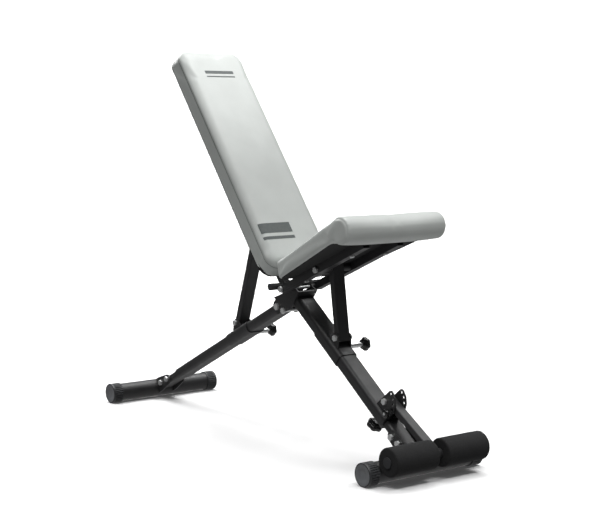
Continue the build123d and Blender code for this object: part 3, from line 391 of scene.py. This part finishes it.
# %% Materials on the CAD nodes
BY_SLOT = {
    "black_frame": powder_coat,
    "zinc_fastener": zinc,
    "bright_steel": chrome,
    "moulded_plastic": cap_plastic,
    "knob_plastic": phenolic,
    "foam": foam,
    "vinyl": vinyl,
    "board": lining,
}
SLOT_OF = {row["node"]: row["material_slot"] for row in frame["record"]["subparts"]}
for node, piece in frame["nodes"].items():
    piece.data.materials.clear()
    piece.data.materials.append(BY_SLOT[SLOT_OF[node]])
print("materials on", len(frame["nodes"]), "nodes")

# %% [markdown]
# Places come from the frame: the hinge axes of the record and the boxes of the nodes.
# Two directions matter most, the backrest's and the seat's, and both come from their boards' boxes.


# %% Places and directions
def hinge_place(name):
    """A hinge's point in the row frame."""
    return np.array(JOINTS[name]["pos_m"], float)


def node_points(name):
    """A CAD node's corners as an array."""
    mesh = frame["nodes"][name].data
    points = np.empty(len(mesh.vertices) * 3)
    mesh.vertices.foreach_get("co", points)
    return points.reshape(-1, 3)


def long_direction(points):
    """The direction in the X-Z plane in which a flat board is longest."""
    flat = points[:, [0, 2]] - points[:, [0, 2]].mean(axis=0)
    _, _, axes = np.linalg.svd(flat, full_matrices=False)
    return np.array([axes[0, 0], 0.0, axes[0, 1]])


RECLINE = hinge_place("recline")
SEAT_PIVOT = hinge_place("seat_tilt")
back_up = long_direction(node_points("backrest_board"))
back_up *= np.sign(back_up[2])
back_out = np.array([back_up[2], 0.0, -back_up[0]])
seat_ahead = long_direction(node_points("seat_board"))
seat_ahead *= np.sign(seat_ahead[0])
seat_up = np.array([-seat_ahead[2], 0.0, seat_ahead[0]])
ACROSS = np.array([0.0, 1.0, 0.0])
print("backrest at", round(degrees(atan2(back_up[2], -back_up[0])), 1), "degrees, seat at",
      round(degrees(atan2(seat_ahead[2], seat_ahead[0])), 1))


def span(points, origin, direction):
    """The lowest and highest distance of points along a direction from an origin."""
    distance = (points - origin) @ direction
    return distance.min(), distance.max()


back_low, back_high = span(node_points("backrest_cushion"), RECLINE, back_up)
back_rear, back_front = span(node_points("backrest_cushion"), RECLINE, back_out)
back_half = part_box("backrest_cushion")[1][1]
seat_low, seat_high = span(node_points("seat_cushion"), SEAT_PIVOT, seat_ahead)
seat_top = span(node_points("seat_cushion"), SEAT_PIVOT, seat_up)[1]
seat_front_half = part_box("seat_cushion")[1][1]
print("backrest pad", round((back_high - back_low) * 1000), "x", round(2000 * back_half), "mm")

# %% [markdown]
# A pad is plywood, a block of foam and a vinyl cover pulled over both. Its corners round off where the cover
# is tight, and its sides draw in towards the board.
# First comes the closed form, as rings: each ring is a rounded rectangle, and the rings shrink to the middle.


# %% Rings of a padded board
def rounded_outline(half_length, half_width, corner, count):
    """Points round a rounded rectangle: straight sides with quarter circles, evenly spaced by length."""
    corner = min(corner, half_length * 0.999, half_width * 0.999)
    arc = np.linspace(0, pi / 2, 24)
    centres = [(1, 1), (-1, 1), (-1, -1), (1, -1)]
    rounds = [
        np.stack(
            [
                sx * (half_length - corner) + corner * np.cos(arc + k * pi / 2),
                sy * (half_width - corner) + corner * np.sin(arc + k * pi / 2),
            ],
            axis=1,
        )
        for k, (sx, sy) in enumerate(centres)
    ]
    path = np.vstack(rounds + [rounds[0][:1]])
    length = np.concatenate([[0], np.cumsum(np.linalg.norm(np.diff(path, axis=0), axis=1))])
    even = np.linspace(0, length[-1], count, endpoint=False)
    return np.stack([np.interp(even, length, path[:, 0]), np.interp(even, length, path[:, 1])], axis=1)


RING_POINTS = 220
LEAST_CORNER = 0.004


def pad_rings(half_length, half_width, corner, rings):
    """A grid of rings; each (inset, height) pair moves the outline in by inset and up to height."""
    made = []
    for inset, height in rings:
        rounding = max(corner - inset, LEAST_CORNER)
        outline = rounded_outline(half_length - inset, half_width - inset, rounding, RING_POINTS)
        made.append(np.column_stack([outline, np.full(RING_POINTS, height)]))
    return np.array(made)


def edge_rings(depth, edge, half_width):
    """Inset and height pairs from the middle of the back face, round the side, to the middle of the front."""
    inward = np.linspace(half_width * 0.995, 0.006, 14)
    rear = [(inset, 0.0) for inset in inward]
    side = [(0.0015 * sin(pi * t), depth * t) for t in np.linspace(0.08, 1 - edge / depth, 7)]
    turn = np.linspace(0, pi / 2, 9)[1:]
    front_edge = [(edge * (1 - cos(a)), depth - edge + edge * sin(a)) for a in turn]
    middle = [(inset, depth) for inset in inward[::-1] if inset > edge]
    return rear + [(0.002, 0.001)] + side + front_edge + middle


def placed(points, origin, along, across, up):
    """Local (a, b, c) points at origin + a along + b across + c up."""
    points = np.asarray(points)
    return origin + points[..., :1] * along + points[..., 1:2] * across + points[..., 2:] * up


# %% [markdown]
# Cloth simulation gives the cover its soft tension. The form is remeshed to even cells, blown up a little
# with its back face held, and each point's travel is capped so that the pad keeps its size.

# %% Cover by cloth simulation
FRAMES = 20
CLOTH_CELL = 5.0 * MM
CLOTH_PRESSURE = 4.0
CLOTH_STIFFNESS = 25
CLOTH_BENDING = 2.0
TRAVEL_CAP = 4.5 * MM


def puff(piece, is_held):
    """Inflates a piece with cloth and bakes the result; a point that moved d moves cap * tanh(d / cap)."""
    remesh = piece.modifiers.new("remesh", "REMESH")
    remesh.mode = "VOXEL"
    remesh.voxel_size = CLOTH_CELL
    settled = bpy.data.meshes.new_from_object(piece.evaluated_get(bpy.context.evaluated_depsgraph_get()))
    piece.modifiers.clear()
    piece.data = settled
    start = np.empty(len(settled.vertices) * 3)
    settled.vertices.foreach_get("co", start)
    start = start.reshape(-1, 3)
    held = piece.vertex_groups.new(name="held")
    held.add(np.flatnonzero(is_held(start)).tolist(), 1.0, "REPLACE")
    cloth = piece.modifiers.new("cloth", "CLOTH")
    cloth.settings.vertex_group_mass = "held"
    cloth.settings.use_pressure = True
    cloth.settings.uniform_pressure_force = CLOTH_PRESSURE
    cloth.settings.tension_stiffness = CLOTH_STIFFNESS
    cloth.settings.compression_stiffness = CLOTH_STIFFNESS
    cloth.settings.bending_stiffness = CLOTH_BENDING
    cloth.settings.effector_weights.gravity = 0.0
    cloth.point_cache.frame_start = 1
    cloth.point_cache.frame_end = FRAMES
    scene = bpy.context.scene
    for step in range(1, FRAMES + 1):
        scene.frame_set(step)
    blown = piece.evaluated_get(bpy.context.evaluated_depsgraph_get()).to_mesh()
    moved = np.empty(len(blown.vertices) * 3)
    blown.vertices.foreach_get("co", moved)
    travel = moved.reshape(-1, 3) - start
    far = np.linalg.norm(travel, axis=1)
    keep = np.tanh(far / TRAVEL_CAP) * TRAVEL_CAP / np.maximum(far, 1e-9)
    piece.modifiers.clear()
    settled.vertices.foreach_set("co", (start + travel * keep[:, None]).ravel())
    settled.update()
    scene.frame_set(1)
    print(piece.name, "moved up to", round(float((far * keep).max()) * 1000, 1), "mm")


EVEN_ROUNDS = 3


def even_out(piece):
    """Evens a mesh out by moving each point half way to its neighbours' mean, a few times."""
    mesh = piece.data
    ends = np.empty(len(mesh.edges) * 2, int)
    mesh.edges.foreach_get("vertices", ends)
    a, b = ends.reshape(-1, 2).T
    points = np.empty(len(mesh.vertices) * 3)
    mesh.vertices.foreach_get("co", points)
    points = points.reshape(-1, 3)
    count = np.bincount(np.concatenate([a, b]), minlength=len(points))[:, None]
    for _ in range(EVEN_ROUNDS):
        total = np.zeros_like(points)
        np.add.at(total, a, points[b])
        np.add.at(total, b, points[a])
        points = 0.5 * points + 0.5 * total / np.maximum(count, 1)
    mesh.vertices.foreach_set("co", points.ravel())
    mesh.update()


def subdivide_once(piece):
    """Bakes one level of subdivision into the mesh and smooths its shading."""
    divide = piece.modifiers.new("subdivide", "SUBSURF")
    divide.levels = divide.render_levels = 1
    smooth = bpy.data.meshes.new_from_object(piece.evaluated_get(bpy.context.evaluated_depsgraph_get()))
    piece.modifiers.clear()
    piece.data = smooth
    smooth.shade_smooth()


# %% The backrest pad
PAD_SLACK = 0.0035             # the form starts this much inside the CAD pad, and the cover fills it
BACK_CORNER = 0.045
BACK_EDGE = 0.02
BOARD_SHOWS = 0.0005           # the board's face stands this far proud of the cover's turned-in rim
HELD_HEIGHT = 0.004            # the cover is stapled to the board up to this height
back_rear = span(node_points("backrest_board"), RECLINE, back_out)[0] + BOARD_SHOWS
middle = (back_low + back_high) / 2
back_origin = RECLINE + middle * back_up + back_rear * back_out
rings = edge_rings(back_front - back_rear - PAD_SLACK, BACK_EDGE, back_half - PAD_SLACK)
form = pad_rings((back_high - back_low) / 2 - PAD_SLACK, back_half - PAD_SLACK, BACK_CORNER, rings)
backrest_pad = grid_mesh("backrest_pad", placed(form, back_origin, back_up, ACROSS, back_out), close_v=True)


def on_board(points, origin, up, height):
    """True for the points that lie against the board, up to a height above the origin."""
    return (points - origin) @ up < height


puff(backrest_pad, lambda points: on_board(points, back_origin, back_out, HELD_HEIGHT))
even_out(backrest_pad)
subdivide_once(backrest_pad)
print("backrest pad has", len(backrest_pad.data.polygons), "faces")

# %% [markdown]
# The seat pad tapers to the rear and its front edge is a thick roll that hangs below the board.
# Its side profile is a closed curve, carried across the bench and drawn in at both ends.

# %% The seat pad
ROLL_RADIUS = 0.0415
SEAT_REAR_HALF = 0.125
SEAT_EDGE = 0.008
SEAT_START = 0.02              # the profile starts on the board, this far from the rear edge
SEAT_MIDDLE = 0.03             # the ends close towards a line that starts this far from the rear edge
SEAT_HELD_AHEAD = 0.39         # ahead of this the roll hangs free of the board
PROFILE_POINTS = 300
SEAT_STATIONS = 60
CLOSING_SHARES = (0.3, 0.6, 0.85, 0.98)
SLOT_REACH = (0.038, 0.023)    # half the length and half the width of the lifted patch over the strut
pad_floor, board_top = span(node_points("seat_board"), SEAT_PIVOT, seat_up) + np.array([BOARD_SHOWS, 0.0])
roll_u = seat_high - ROLL_RADIUS
roll_n = seat_top - ROLL_RADIUS


def seat_profile(slack, edge):
    """The pad's closed side profile: rear face, top, round the roll and back along the board."""
    low, top, radius = seat_low + slack, seat_top - slack, ROLL_RADIUS - slack
    corner = np.linspace(pi, pi / 2, 10)
    wrap = np.linspace(pi / 2, -pi - np.arcsin((pad_floor - roll_n) / radius), 60)
    path = np.vstack(
        [
            [[low + SEAT_START, pad_floor], [low, pad_floor]],
            np.stack([low + edge + edge * np.cos(corner), top - edge + edge * np.sin(corner)], axis=1),
            np.stack([roll_u + radius * np.cos(wrap), roll_n + radius * np.sin(wrap)], axis=1),
            [[low + SEAT_START, pad_floor]],
        ]
    )
    length = np.concatenate([[0], np.cumsum(np.linalg.norm(np.diff(path, axis=0), axis=1))])
    even = np.linspace(0, length[-1], PROFILE_POINTS, endpoint=False)
    return np.stack([np.interp(even, length, path[:, 0]), np.interp(even, length, path[:, 1])], axis=1)


def seat_half_width(u):
    """Half the seat's width: it grows evenly from the rear edge to the roll."""
    share = np.clip((u - seat_low) / (roll_u - ROLL_RADIUS - seat_low), 0, 1)
    return SEAT_REAR_HALF + (seat_front_half - SEAT_REAR_HALF) * share


def seat_form(slack, edge):
    """The profile at stations across the seat, its rim rounded and then drawn in to its own middle line."""
    profile = seat_profile(slack, edge)
    tangent = np.roll(profile, -1, axis=0) - np.roll(profile, 1, axis=0)
    tangent /= np.linalg.norm(tangent, axis=1)[:, None]
    inward = np.stack([tangent[:, 1], -tangent[:, 0]], axis=1)
    half = (seat_half_width(profile[:, 0]) - slack)[:, None]
    middle_u = np.clip(profile[:, 0], seat_low + SEAT_MIDDLE, roll_u)
    middle_n = np.where(profile[:, 0] > roll_u - ROLL_RADIUS, roll_n, (pad_floor + seat_top) / 2)
    middle_line = np.column_stack([middle_u, middle_n])
    turn = np.linspace(0, pi / 2, 7)[1:]
    rim = [(edge * sin(a) - edge, edge * (1 - cos(a))) for a in turn]
    columns = []
    for share in np.linspace(-1, 1, SEAT_STATIONS):
        columns.append(np.column_stack([profile, share * (half[:, 0] - edge)]))
    for out, inset in rim:
        drawn = profile + inward * inset
        columns.append(np.column_stack([drawn, half[:, 0] + out]))
        columns.insert(0, np.column_stack([drawn, -(half[:, 0] + out)]))
    for share in CLOSING_SHARES:
        closing = drawn * (1 - share) + middle_line * share
        columns.append(np.column_stack([closing, half[:, 0]]))
        columns.insert(0, np.column_stack([closing, -half[:, 0]]))
    return np.stack(columns, axis=1)


form = seat_form(PAD_SLACK, SEAT_EDGE)
seat_pad = grid_mesh("seat_pad", placed(form, SEAT_PIVOT, seat_ahead, seat_up, ACROSS), close_u=True)
puff(seat_pad, lambda points: on_board(points, SEAT_PIVOT, seat_up, pad_floor + HELD_HEIGHT)
     & on_board(points, SEAT_PIVOT, seat_ahead, SEAT_HELD_AHEAD))
even_out(seat_pad)
subdivide_once(seat_pad)


def lift_over_slot(piece, node, reach_u, reach_y):
    """Lifts the pad's underside to the board's top where the strut's end swings up through the board."""
    mesh = piece.data
    points = np.empty(len(mesh.vertices) * 3)
    mesh.vertices.foreach_get("co", points)
    points = points.reshape(-1, 3)
    centre = (np.array(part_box(node)[0]) + np.array(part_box(node)[1])) / 2
    u, n = (points - SEAT_PIVOT) @ seat_ahead, (points - SEAT_PIVOT) @ seat_up
    under = (abs(u - (centre - SEAT_PIVOT) @ seat_ahead) < reach_u) & (abs(points[:, 1]) < reach_y)
    rise = np.where(under & (n < board_top), board_top - n, 0.0)
    mesh.vertices.foreach_set("co", (points + rise[:, None] * seat_up).ravel())
    mesh.update()


lift_over_slot(seat_pad, "front_strut_bolt", *SLOT_REACH)
print("seat pad has", len(seat_pad.data.polygons), "faces")

# %% [markdown]
# Seams come after the simulation. A seam pulls the cover in, so the surface dips along its line. A thread
# lies in the backrest's dip, and the two seams round the ends of the seat's roll are blind.


# %% Seams
def snapped(piece, points):
    """Each point moved to the nearest place on a piece's surface, and the surface's normal there."""
    tree = BVHTree.FromObject(piece, bpy.context.evaluated_depsgraph_get())
    found = [tree.find_nearest(Vector(p)) for p in points]
    return np.array([f[0] for f in found]), np.array([f[1] for f in found])


def press_seam(piece, line, depth, width):
    """Moves the surface in along its normal by depth times a bell curve of the distance to a line."""
    tree = KDTree(len(line))
    for index, point in enumerate(line):
        tree.insert(point, index)
    tree.balance()
    mesh = piece.data
    size = len(mesh.vertices)
    points, normals = np.empty(size * 3), np.empty(size * 3)
    mesh.vertices.foreach_get("co", points)
    mesh.vertices.foreach_get("normal", normals)
    points, normals = points.reshape(-1, 3), normals.reshape(-1, 3)
    distance = np.array([tree.find(Vector(p))[2] for p in points])
    points -= normals * (depth * np.exp(-((distance / width) ** 2)))[:, None]
    mesh.vertices.foreach_set("co", points.ravel())
    mesh.update()


THREAD_SIDES = 8


def tube_along(name, path, normals, radius):
    """A thin tube round a closed path: each section is r (cos a s + sin a u), with s and u across the path."""
    ahead = np.roll(path, -1, axis=0) - np.roll(path, 1, axis=0)
    ahead /= np.linalg.norm(ahead, axis=1)[:, None]
    side = np.cross(ahead, normals)
    side /= np.linalg.norm(side, axis=1)[:, None]
    up = np.cross(side, ahead)
    turns = np.linspace(0, 2 * pi, THREAD_SIDES, endpoint=False)
    ring = np.cos(turns)[None, :, None] * side[:, None] + np.sin(turns)[None, :, None] * up[:, None]
    return tidy(grid_mesh(name, path[:, None] + radius * ring, close_u=True, close_v=True))


def settle(piece, body, slot, *replaced):
    """Lets a piece ride on its body and hides the CAD nodes that it stands for; slot is not used."""
    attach(piece, body)
    if replaced:
        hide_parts(*replaced)


SEAM_DROP = 0.02
SEAM_DEPTH = 0.0022
SEAM_WIDTH = 0.0035
THREAD_RADIUS = 0.0008
ROLL_SEAM_INSET = 0.003
ROLL_SEAM_TURN = (-0.62 * pi, 0.5 * pi)
outline = rounded_outline((back_high - back_low) / 2, back_half, BACK_CORNER, 700)
depth = back_front - back_rear - SEAM_DROP
line = np.column_stack([outline, np.full(len(outline), depth)])
line, normals = snapped(backrest_pad, placed(line, back_origin, back_up, ACROSS, back_out))
press_seam(backrest_pad, line, SEAM_DEPTH, SEAM_WIDTH)
line, normals = snapped(backrest_pad, line)
back_thread = tube_along("backrest_seam_thread", line, normals, THREAD_RADIUS)
back_thread.data.materials.append(thread)

turns = np.linspace(*ROLL_SEAM_TURN, 160)
around = np.outer(np.cos(turns), seat_ahead) + np.outer(np.sin(turns), seat_up)
for side in (-1, 1):
    centre = SEAT_PIVOT + roll_u * seat_ahead + roll_n * seat_up + side * seat_front_half * ACROSS
    line, normals = snapped(seat_pad, centre + (ROLL_RADIUS - ROLL_SEAM_INSET) * around)
    press_seam(seat_pad, line, SEAM_DEPTH, SEAM_WIDTH)
settle(back_thread, "backrest", "vinyl")
for piece, body, node in ((backrest_pad, "backrest", "backrest_cushion"), (seat_pad, "seat", "seat_cushion")):
    piece.data.materials.clear()
    piece.data.materials.append(vinyl)
    piece.data.shade_smooth()
    settle(piece, body, "vinyl", node)
print("seams pressed")

# %% [markdown]
# A plain motif of bars is printed on the backrest. It is a thin skin that follows the pad's surface:
# a small grid is dropped onto the pad from in front and lifted by the ink's thickness.

# %% Printed bars
INK_CELL = 0.002
INK_LIFT = 0.00035
INK_THICKNESS = 0.9 * INK_LIFT
DROP_HEIGHT = 0.05


def printed_bar(name, centre_along, centre_across, length_across, height_along):
    """A bar of ink on the backrest: a flat grid dropped onto the pad against its outward direction."""
    along = np.linspace(-0.5, 0.5, max(4, int(height_along / INK_CELL))) * height_along + centre_along
    across = np.linspace(-0.5, 0.5, max(8, int(length_across / INK_CELL))) * length_across + centre_across
    tree = BVHTree.FromObject(backrest_pad, bpy.context.evaluated_depsgraph_get())
    points = np.empty((len(along), len(across), 3))
    for i, a in enumerate(along):
        for j, b in enumerate(across):
            start = RECLINE + a * back_up + b * ACROSS + (back_front + DROP_HEIGHT) * back_out
            hit = tree.ray_cast(Vector(start), Vector(-back_out))[0]
            points[i, j] = np.array(hit) + INK_LIFT * back_out
    piece = grid_mesh(name, points)
    skin = piece.modifiers.new("skin", "SOLIDIFY")
    skin.thickness = INK_THICKNESS
    piece.data.materials.append(ink)
    settle(piece, "backrest", "vinyl")


MOTIF_TOP = back_high - 0.1
MOTIF_LOW = back_low + 0.135
MOTIF_SIDE = -0.047
BARS = {                       # centre up and across, length across, height up
    "motif_top_wide": (MOTIF_TOP, 0.0, 0.104, 0.011),
    "motif_top_narrow": (MOTIF_TOP - 0.017, 0.0, 0.104, 0.004),
    "motif_low_wide": (MOTIF_LOW, MOTIF_SIDE, 0.11, 0.034),
    "motif_low_narrow": (MOTIF_LOW - 0.034, MOTIF_SIDE, 0.11, 0.01),
}
for name, bar in BARS.items():
    printed_bar(name, *bar)
print("motif printed")

# %% [markdown]
# The end caps are moulded cups with ribs along them for grip. The radius is a ripple of the angle, and the
# lowest stretch is cut flat where the cap stands on the floor.

# %% Ribbed end caps
RIB_COUNT = 30
RIB_DEPTH = 0.0024
CAP_LIP = 0.0022
CAP_SKIRT = 0.036
RIB_ENDS = ((0.003, 0.0045), (0.0085, 0.007))   # where the ribs fade in from the mouth and out at the face
CAP_FACE = ((0.5, -0.0005), (0.45, -0.0020), (0.18, -0.0020))   # share of the radius, place along the axis


def foot_cap(name, node, side, body):
    """A cap as rings along Y: r = R - depth * ((1 - cos(n a)) / 2)^2 on its ribs, cut flat at z = 0."""
    low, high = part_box(node)
    radius = (high[0] - low[0]) / 2
    centre_x, axis_z = (high[0] + low[0]) / 2, high[2] - radius
    outer, mouth = high[1], high[1] - CAP_SKIRT
    (fade_in, full_in), (full_out, fade_out) = RIB_ENDS
    turns = np.linspace(0, 2 * pi, 12 * RIB_COUNT, endpoint=False)
    ripple = (0.5 * (1 - np.cos(RIB_COUNT * turns))) ** 2
    bend = np.linspace(0, pi / 2, 6)
    stations = [(mouth, radius - 0.003, 0.0), (mouth, radius - 0.0006, 0.0)]
    stations += [(mouth + fade_in, radius, 0.0), (mouth + full_in, radius, RIB_DEPTH)]
    stations += [(outer - full_out, radius, RIB_DEPTH), (outer - fade_out, radius, 0.0)]
    stations += [(outer - CAP_LIP + CAP_LIP * sin(a), radius - CAP_LIP * (1 - cos(a)), 0.0) for a in bend]
    stations += [(outer, radius - 0.0030, 0.0), (outer - 0.0008, radius - 0.0036, 0.0)]
    rows = []
    for y, reach, ribs in stations:
        r = reach - ribs * ripple
        rows.append(np.stack([centre_x + r * np.cos(turns), np.full_like(turns, side * y),
                              np.maximum(axis_z + r * np.sin(turns), 0.0)], axis=1))
    shell = tidy(grid_mesh(name, np.array(rows), close_v=True), 50)
    shell.data.materials.append(cap_plastic)
    settle(shell, body, "moulded_plastic", node)
    face_radius = np.array([radius - 0.0035, *(radius * share for share, _ in CAP_FACE), 0.0001])
    face_out = np.array([-0.0007, *(out for _, out in CAP_FACE), CAP_FACE[-1][1]])
    face = np.stack(
        [
            centre_x + face_radius[:, None] * np.cos(turns),
            side * (outer + face_out[:, None] + 0 * turns[None, :]),
            axis_z + face_radius[:, None] * np.sin(turns),
        ],
        axis=-1,
    )
    disc = tidy(grid_mesh(name + "_face", face, close_v=True), 50)
    # The face takes the lighter copy, with its painted sheen.
    disc.data.materials.append(cap_face_painted_sheen)
    settle(disc, body, "moulded_plastic")


for end in ("rear", "front"):
    for side, label in ((-1, "near"), (1, "far")):
        foot_cap(f"{end}_foot_cap_{label}", f"{end}_foot_caps", side, BODY_OF[f"{end}_foot_caps"])
print("end caps made")

# %% [markdown]
# The rollers are foam tubes pushed onto the axle. Their ends are cut square with a slightly softened edge,
# and the skin waves a little where hands and feet have pressed it.

# %% Foam rollers
FOAM_EDGE = 0.005
FOAM_GAP = 0.0002              # between the foam's bore and the axle
WAVE_DEPTH = 0.0003
WAVES_ROUND = 3                # waves round the roller, their lean along it, and how often they fade along it
WAVE_LEAN = 60
WAVE_FADE = 47
for node in ("near_roller", "far_roller"):
    low, high = np.array(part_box(node))
    radius = (high[2] - low[2]) / 2
    centre = (low + high) / 2
    half = (high[1] - low[1]) / 2
    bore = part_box("roller_axle")[1][2] - centre[2] + FOAM_GAP
    bend = np.linspace(0, pi / 2, 7)
    edge = [(radius - FOAM_EDGE + FOAM_EDGE * sin(a), half - FOAM_EDGE + FOAM_EDGE * cos(a)) for a in bend]
    straight = [(radius, y) for y in np.linspace(half - FOAM_EDGE, -half + FOAM_EDGE, 40)[1:-1]]
    profile = [(bore, half)] + edge + straight + [(r, -h) for r, h in edge[::-1]] + [(bore, -half)]
    profile = np.array(profile)
    turns = np.linspace(0, 2 * pi, 96, endpoint=False)
    reach, along = profile[:, :1], profile[:, 1:2]
    wave = WAVE_DEPTH * np.sin(WAVES_ROUND * turns + WAVE_LEAN * along) * np.sin(WAVE_FADE * along)
    reach = reach + wave * (reach > bore * 1.5) - WAVE_DEPTH
    points = centre + np.stack([reach * np.cos(turns), along + 0 * turns, reach * np.sin(turns)], axis=-1)
    piece = tidy(grid_mesh(node + "_foam", points, close_u=True, close_v=True), 50)
    piece.data.materials.append(foam)
    settle(piece, BODY_OF[node], "foam", node)
print("rollers made")

# %% [markdown]
# Three pull pins have star knobs with rounded lobes: the radius is a cosine of the angle, and the profile
# along the axis is a dome, a full edge and an undercut. The hold-down's pin has a round knob without lobes.

# %% Star knobs
LOBES = 6
LOBE_DEPTH = 0.12              # as a share of the radius
LOBE_FADE = (0.4, 0.4)         # the lobes start at this share of the radius and are full after as much again
KNOB_PROFILE = (               # share of the radius, share of half the height
    (0.45, -1.0), (0.5, -0.7), (0.86, -0.7), (0.96, -0.5), (1.0, -0.15), (1.0, 0.25),
    (0.97, 0.55), (0.88, 0.8), (0.7, 0.93), (0.4, 1.0),
)
KNOB_TIP = 0.001               # share of the radius at which both faces close


def star_knob(name, node, axis, lobe_depth):
    """r = R (s(h) - d f(s) (1 - cos(n a)) / 2): s(h) is the profile along the axis, f fades the lobes in."""
    axis = np.array(axis, float) / np.linalg.norm(axis)
    points = node_points(node)
    low, high = span(points, np.zeros(3), axis)
    centre = (points.max(axis=0) + points.min(axis=0)) / 2
    centre = centre + axis * ((low + high) / 2 - centre @ axis)
    side = np.cross(axis, (0.3, 0.1, 0.9))
    side /= np.linalg.norm(side)
    other = np.cross(axis, side)
    offset = points - centre - np.outer((points - centre) @ axis, axis)
    radius = np.linalg.norm(offset, axis=1).max()
    half = (high - low) / 2
    turns = np.linspace(0, 2 * pi, 120, endpoint=False)
    ripple = (1 - np.cos(LOBES * turns)) / 2
    rows = []
    for share, height in ((KNOB_TIP, -1.0), *KNOB_PROFILE, (KNOB_TIP, 1.0)):
        fade = min(1.0, max(0.0, (share - LOBE_FADE[0]) / LOBE_FADE[1]))
        r = share * radius - lobe_depth * radius * fade * ripple
        ring = np.outer(r * np.cos(turns), side) + np.outer(r * np.sin(turns), other)
        rows.append(centre + height * half * axis + ring)
    piece = tidy(grid_mesh(name, np.array(rows), close_v=True), 60)
    divide = piece.modifiers.new("round", "SUBSURF")
    divide.levels = divide.render_levels = 1
    piece.data.materials.append(phenolic)
    settle(piece, BODY_OF[node], "knob_plastic", node)


for end in ("rear", "front", "leg"):
    star_knob(f"{end}_star_knob", f"{end}_knob", JOINTS[f"{end}_pin_pull"]["axis"], LOBE_DEPTH)
star_knob("rest_pin_round_knob", "hold_down_knob", JOINTS["rest_pin_pull"]["axis"], 0.0)
print("knobs made")
